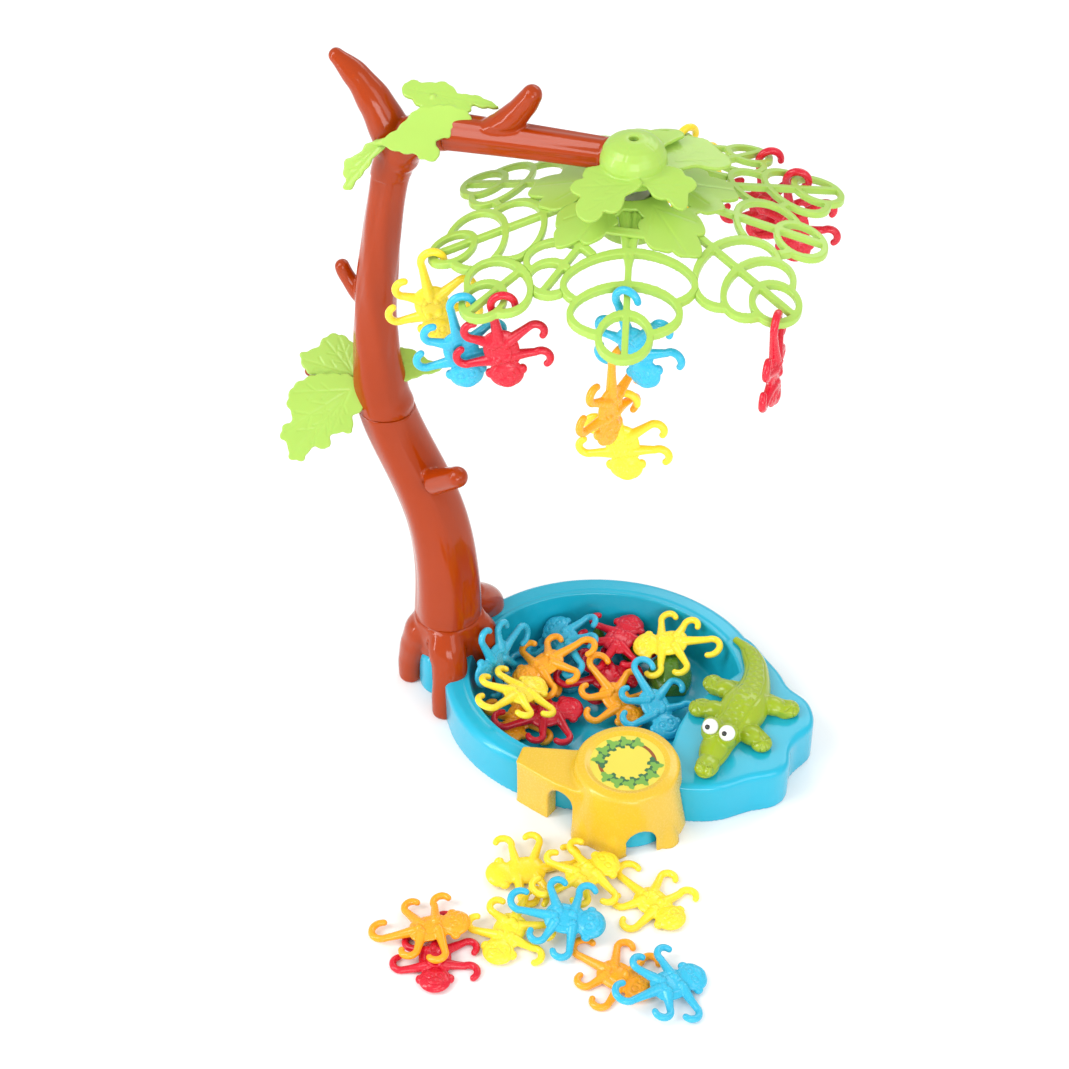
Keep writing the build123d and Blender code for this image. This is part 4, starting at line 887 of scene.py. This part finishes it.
# ---------------------------------------------------------------- monkeys
LIMBS = [((-7.0, -0.2), (-20.306, -0.330), (-21.6, 4.5), 5.0, -75.0, -210.0),
         ((-4.4, 4.4), (-9.753, 13.836), (-6.4, 15.4), 3.7, 205.0, -160.0),
         ((3.5, 4.4), (3.965, 13.752), (7.5, 15.4), 3.9, 205.0, -175.0),
         ((-4.4, -4.4), (-7.026, -11.058), (-10.6, -10.1), 3.7, -15.0, -180.0),
         ((4.4, -4.4), (5.367, -14.391), (1.6, -15.4), 3.9, 15.0, -175.0)]


def tube(name, path, radii, seg=20):
    """A round bar along a flat path, with rounded ends."""
    pts = np.array(path, float)
    tang = np.gradient(pts, axis=0)
    tang /= np.linalg.norm(tang, axis=1)[:, None]
    verts, faces = [], []
    rows = []
    n = len(pts)
    for i in range(n):
        t = tang[i]
        side = np.array([-t[1], t[0], 0.0])
        side /= np.linalg.norm(side)
        up = np.array([0, 0, 1.0])
        rows.append([(pts[i] + radii[i] * (cos(2 * pi * k / seg) * side + sin(2 * pi * k / seg) * up)) for k in range(seg)])
    caps = []
    for end, sgn in ((0, -1), (n - 1, 1)):
        t = tang[end] * sgn
        side = np.array([-tang[end][1], tang[end][0], 0.0])
        up = np.array([0, 0, 1.0])
        ring = []
        for q in (0.4, 0.75, 0.95):
            rr = radii[end] * sqrt(max(0.0, 1 - q * q))
            ring.append([pts[end] + t * radii[end] * q + rr * (cos(2 * pi * k / seg) * side + sin(2 * pi * k / seg) * up) for k in range(seg)])
        caps.append(ring)
    rows = caps[0][::-1] + rows + caps[1]
    for r in rows:
        verts += r
    for i in range(len(rows) - 1):
        for k in range(seg):
            j = (k + 1) % seg
            faces.append((i * seg + k, i * seg + j, (i + 1) * seg + j, (i + 1) * seg + k))
    faces.append(tuple(range(seg))[::-1])
    faces.append(tuple((len(rows) - 1) * seg + k for k in range(seg)))
    ob = new_object(name, np.array(verts) * MM, faces)
    fix_normals(ob.data)
    return ob


bits = []
for i, (p, q, c, r, start, sweep) in enumerate(LIMBS):
    path = [(p[0] + (q[0] - p[0]) * t, p[1] + (q[1] - p[1]) * t, 1.5) for t in np.linspace(-0.15, 0.92, 14)]
    arc = [(c[0] + r * cos(radians(start + sweep * t)), c[1] + r * sin(radians(start + sweep * t)), 1.5)
           for t in np.linspace(0.0, 1.0, 30)]
    line = np.array(path + arc)
    m = len(line)
    w = np.linspace(0, 1, m)
    thick = 1.72 + 1.15 * np.clip(1 - w * 3.0, 0, 1) ** 1.5              # thicker at the shoulder or hip
    thick = thick - 0.18 * np.clip((w - 0.8) * 5, 0, 1)
    line[:, 2] = np.maximum(thick, 1.5)
    bits.append(tube("limb", line, thick))
bits.append(ball("belly", (-0.3, 0, 2.3), 1.0, 64, (9.6, 7.6, 2.3)))
bits.append(ball("chest", (3.4, 0, 2.35), 1.0, 48, (6.6, 7.5, 2.35)))
bits.append(ball("hips", (-4.2, 0, 2.2), 1.0, 48, (5.6, 7.3, 2.2)))
bits.append(ball("head", (12.2, 0, 2.6), 1.0, 64, (7.1, 7.4, 2.6)))
bits.append(ball("muzzle", (14.8, 0, 3.6), 1.0, 48, (4.0, 4.6, 2.1)))
bits.append(ball("ear_a", (11.4, 6.9, 2.1), 1.0, 32, (2.3, 2.0, 1.9)))
bits.append(ball("ear_b", (11.4, -6.9, 2.1), 1.0, 32, (2.3, 2.0, 1.9)))
bits.append(ball("brow_a", (10.0, 2.2, 4.2), 1.0, 32, (1.2, 2.2, 1.0)))
bits.append(ball("brow_b", (10.0, -2.2, 4.2), 1.0, 32, (1.2, 2.2, 1.0)))
proto = joined("monkey_form", bits)
soften(proto, 0.24 * (1.0), 6)


def monkey_face(co, no):
    x, y, z = co.T
    up = np.clip((no[:, 2] - 0.1) / 0.3, 0, 1)
    d = np.zeros(len(x))
    for s in (1, -1):
        r = np.hypot(x - 11.6, y - 2.4 * s)
        d += (-0.34 * gauss(r - 1.5, 0.45) + 0.12 * gauss(r, 0.9)) * up                  # eye rings
        r = np.hypot(x - 14.2, y - 0.9 * s)
        d -= 0.30 * gauss(r, 0.5) * up                                                    # nostrils
        r = np.hypot(x - 11.4, y - 7.5 * s)
        d -= 0.36 * gauss(r, 0.9) * up                                                    # ear cup
    a = np.arctan2(y, x - 12.4)
    r = np.hypot(x - 12.4, y)
    d -= 0.36 * gauss(r - 4.3, 0.42) * (np.abs(a) < 0.8) * up                             # mouth
    d -= 0.26 * gauss(np.hypot(x - 12.2, y / 1.04) - 6.0, 0.45) * up * (x < 12)           # hair line
    e = np.sqrt(((x - 0.2) / 6.4) ** 2 + (y / 4.5) ** 2)
    d -= 0.30 * gauss(e - 1.0, 0.10) * up * (x < 6.2)                                     # belly patch
    d -= 0.30 * gauss(np.hypot(x + 2.6, y), 0.6) * up                                     # navel
    return d


push(proto, monkey_face)
proto_mesh = proto.data
bpy.data.objects.remove(proto)

MONKEYS = [
    ("monkey_hanging_yellow_left", (-69.5314, -41.5737, 269.115), (0.534639, 0.744061, -0.400667), 101.025),
    ("monkey_hanging_blue_left", (-44.9874, -65.91, 269.106), (0.526066, 0.755615, -0.390257), 100.35),
    ("monkey_hanging_red_front", (-27.0612, -64.0601, 273.522), (0.560755, 0.705802, -0.432894), 103.333),
    ("monkey_hanging_blue_front", (28.2562, -51.0305, 281.463), (0.74696, 0.430965, -0.506281), 110.161),
    ("monkey_hanging_red_right", (79.8952, -34.5179, 272.675), (0.02466, 0.989339, 0.14353), 91.2053),
    ("monkey_hanging_red_back", (56.2519, 67.261, 275.993), (0.602861, 0.632048, -0.486902), 108.104),
    ("monkey_hanging_red_far", (39.188, 78.7367, 275.606), (0.529549, 0.750976, -0.394477), 100.62),
    ("monkey_hanging_yellow_far", (-0.7806, 79.4813, 276.89), (0.34544, 0.920159, -0.184336), 92.0158),
    ("monkey_chain_orange", (17.3547, -56.8601, 251.247), (0.122368, 0.975193, -0.184457), 92.0185),
    ("monkey_chain_yellow", (21.1797, -45.3344, 224.31), (0.604478, 0.628846, -0.489039), 108.321),
    ("monkey_table_yellow_right", (64.6083, -103.088, 0.03), (0, 0, -1), 26.6201),
    ("monkey_table_yellow_back", (2.4554, -108.992, 5.4822), (0.306096, -0.950777, -0.048249), 174.889),
    ("monkey_table_red_left", (-15.4132, -173.136, 0.03), (0, 0, -1), 65.219),
    ("monkey_table_orange_right", (65.0478, -149.589, 0.03), (0, 0, -1), 13.3745),
    ("monkey_table_yellow_front", (9.7051, -146.096, 1.9997), (0.029706, 0.069649, -0.997129), 90.0528),
    ("monkey_table_yellow_middle", (30.2023, -103.703, 5.4121), (0.022044, 0.126552, 0.991715), 59.5734),
    ("monkey_table_orange_left", (-23.3563, -161.201, 4.5463), (-0.055629, -0.193144, 0.979592), 32.4702),
    ("monkey_table_blue_middle", (32.1924, -133.035, 7.3019), (0.70348, 0.3804, 0.600343), 17.6816),
    ("monkey_table_blue_right", (89.511, -148.229, 4.2441), (0.058501, 0.268328, 0.96155), 55.7968),
    ("monkey_pond_blue_bottom", (-34.6069, 26.5075, 2.0599), (0, 0, 1), 29.0779),
    ("monkey_pond_orange_bottom", (-38.8659, -17.2784, 3.5054), (0.026956, 0.044851, -0.99863), 94.3594),
    ("monkey_pond_red_middle", (-8.634, 22.9559, 5.4337), (0.113387, 0.226424, 0.967407), 43.603),
    ("monkey_pond_red_front", (-25.8302, -16.0733, 7.6954), (0.063283, 0.107129, 0.992229), 46.3663),
    ("monkey_pond_red_back", (-11.0272, 45.1768, 11.0819), (0.038892, 0.044292, 0.998261), 84.908),
    ("monkey_pond_orange_middle", (1.8825, 7.6217, 8.2833), (0.064529, 0.53102, -0.844899), 35.8348),
    ("monkey_pond_blue_back", (-35.4436, 32.8132, 12.6692), (-0.158418, -0.175737, 0.971607), 136.909),
    ("monkey_pond_orange_top", (-37.4078, 11.3754, 14.1891), (0.169744, 0.046381, -0.984396), 130.264),
    ("monkey_pond_blue_front", (21.9326, 10.0254, 9.0526), (0.053889, 0.492769, -0.86849), 44.3635),
    ("monkey_pond_yellow_right", (16.42, 47.24, 17.6), (0.122478, 0.109281, -0.986436), 164.344),
    ("monkey_pond_blue_leaning", (-61.55, -1.0041, 23.2843), (-0.428964, 0.59918, -0.675998), 115.684),
    ("monkey_pond_yellow_left", (-38.8964, -20.9335, 22.1083), (-0.08885, 0.285376, 0.954288), 77.1555),
]
meshes = {}
for name, place, axis, turn in MONKEYS:
    slot = SLOT[name]
    if slot not in meshes:
        me = proto_mesh.copy()
        me.name = "mesh_" + slot
        me.materials.clear()
        me.materials.append(MATS[slot])
        meshes[slot] = me
    me = meshes[slot].copy()
    if name == "monkey_hanging_blue_left":          # a flatter belly, clear of the monkey that swings beside it
        for v in me.vertices:
            side = min(1.0, max(0.0, (7.0 - v.co.x / MM) / 3.0))
            v.co.z -= max(0.0, v.co.z / MM - 4.0) * 0.7 * side * MM
    me.transform(Matrix.Translation(Vector(place) * MM) @ Matrix.Rotation(radians(turn), 4, Vector(axis).normalized()))
    me.update()
    ob = bpy.data.objects.new("look_" + name, me)
    scene.collection.objects.link(ob)
    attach(ob, BODY[name])
    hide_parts(name)

# ---------------------------------------------------------------- stage: floor, light, camera
floor = new_object("floor", [(-6, -6, 0), (6, -6, 0), (6, 6, 0), (-6, 6, 0)], [(0, 1, 2, 3)], smooth=False)
fmat = bpy.data.materials.new("floor_paper")
fmat.use_nodes = True
fb = fmat.node_tree.nodes["Principled BSDF"]
fb.inputs["Base Color"].default_value = (0.93, 0.93, 0.93, 1.0)
fb.inputs["Roughness"].default_value = 0.9
fb.inputs["Specular IOR Level"].default_value = 0.1
floor.data.materials.append(fmat)

world = bpy.data.worlds.new("studio")
scene.world = world
world.use_nodes = True
world.node_tree.nodes["Background"].inputs["Color"].default_value = (1.0, 1.0, 1.0, 1.0)
world.node_tree.nodes["Background"].inputs["Strength"].default_value = 0.75


def lamp(name, place, target, size, power):
    data = bpy.data.lights.new(name, "AREA")
    data.shape = "RECTANGLE"
    data.size, data.size_y = size
    data.energy = power
    ob = bpy.data.objects.new(name, data)
    scene.collection.objects.link(ob)
    ob.location = place
    ob.rotation_euler = (Vector(target) - Vector(place)).to_track_quat("-Z", "Y").to_euler()
    return ob


lamp("key", (-0.9, -0.9, 1.5), (0, 0, 0.15), (0.9, 0.9), 14.0)
lamp("fill", (1.3, -0.6, 1.1), (0, 0, 0.15), (0.8, 1.2), 8.0)
lamp("back", (0.2, 1.4, 1.3), (0, 0, 0.2), (1.4, 0.6), 7.0)
lamp("front", (0.75, -1.5, 0.55), (0, 0, 0.08), (0.9, 0.5), 9.0)
lamp("strip", (-1.15, -0.95, 0.55), (-0.08, 0, 0.2), (0.16, 1.3), 7.0)

cam_data = bpy.data.cameras.new("camera")
cam = bpy.data.objects.new("camera", cam_data)
scene.collection.objects.link(cam)
cam.location = (0.29851, -0.79602, 0.87515)
cam.rotation_euler = (radians(48.6), 0.0, radians(23.0))
cam_data.lens = 80.82
cam_data.sensor_width = 36.0
cam_data.clip_start = 0.05
cam_data.clip_end = 30.0
scene.camera = cam
scene.view_settings.view_transform = "Standard"
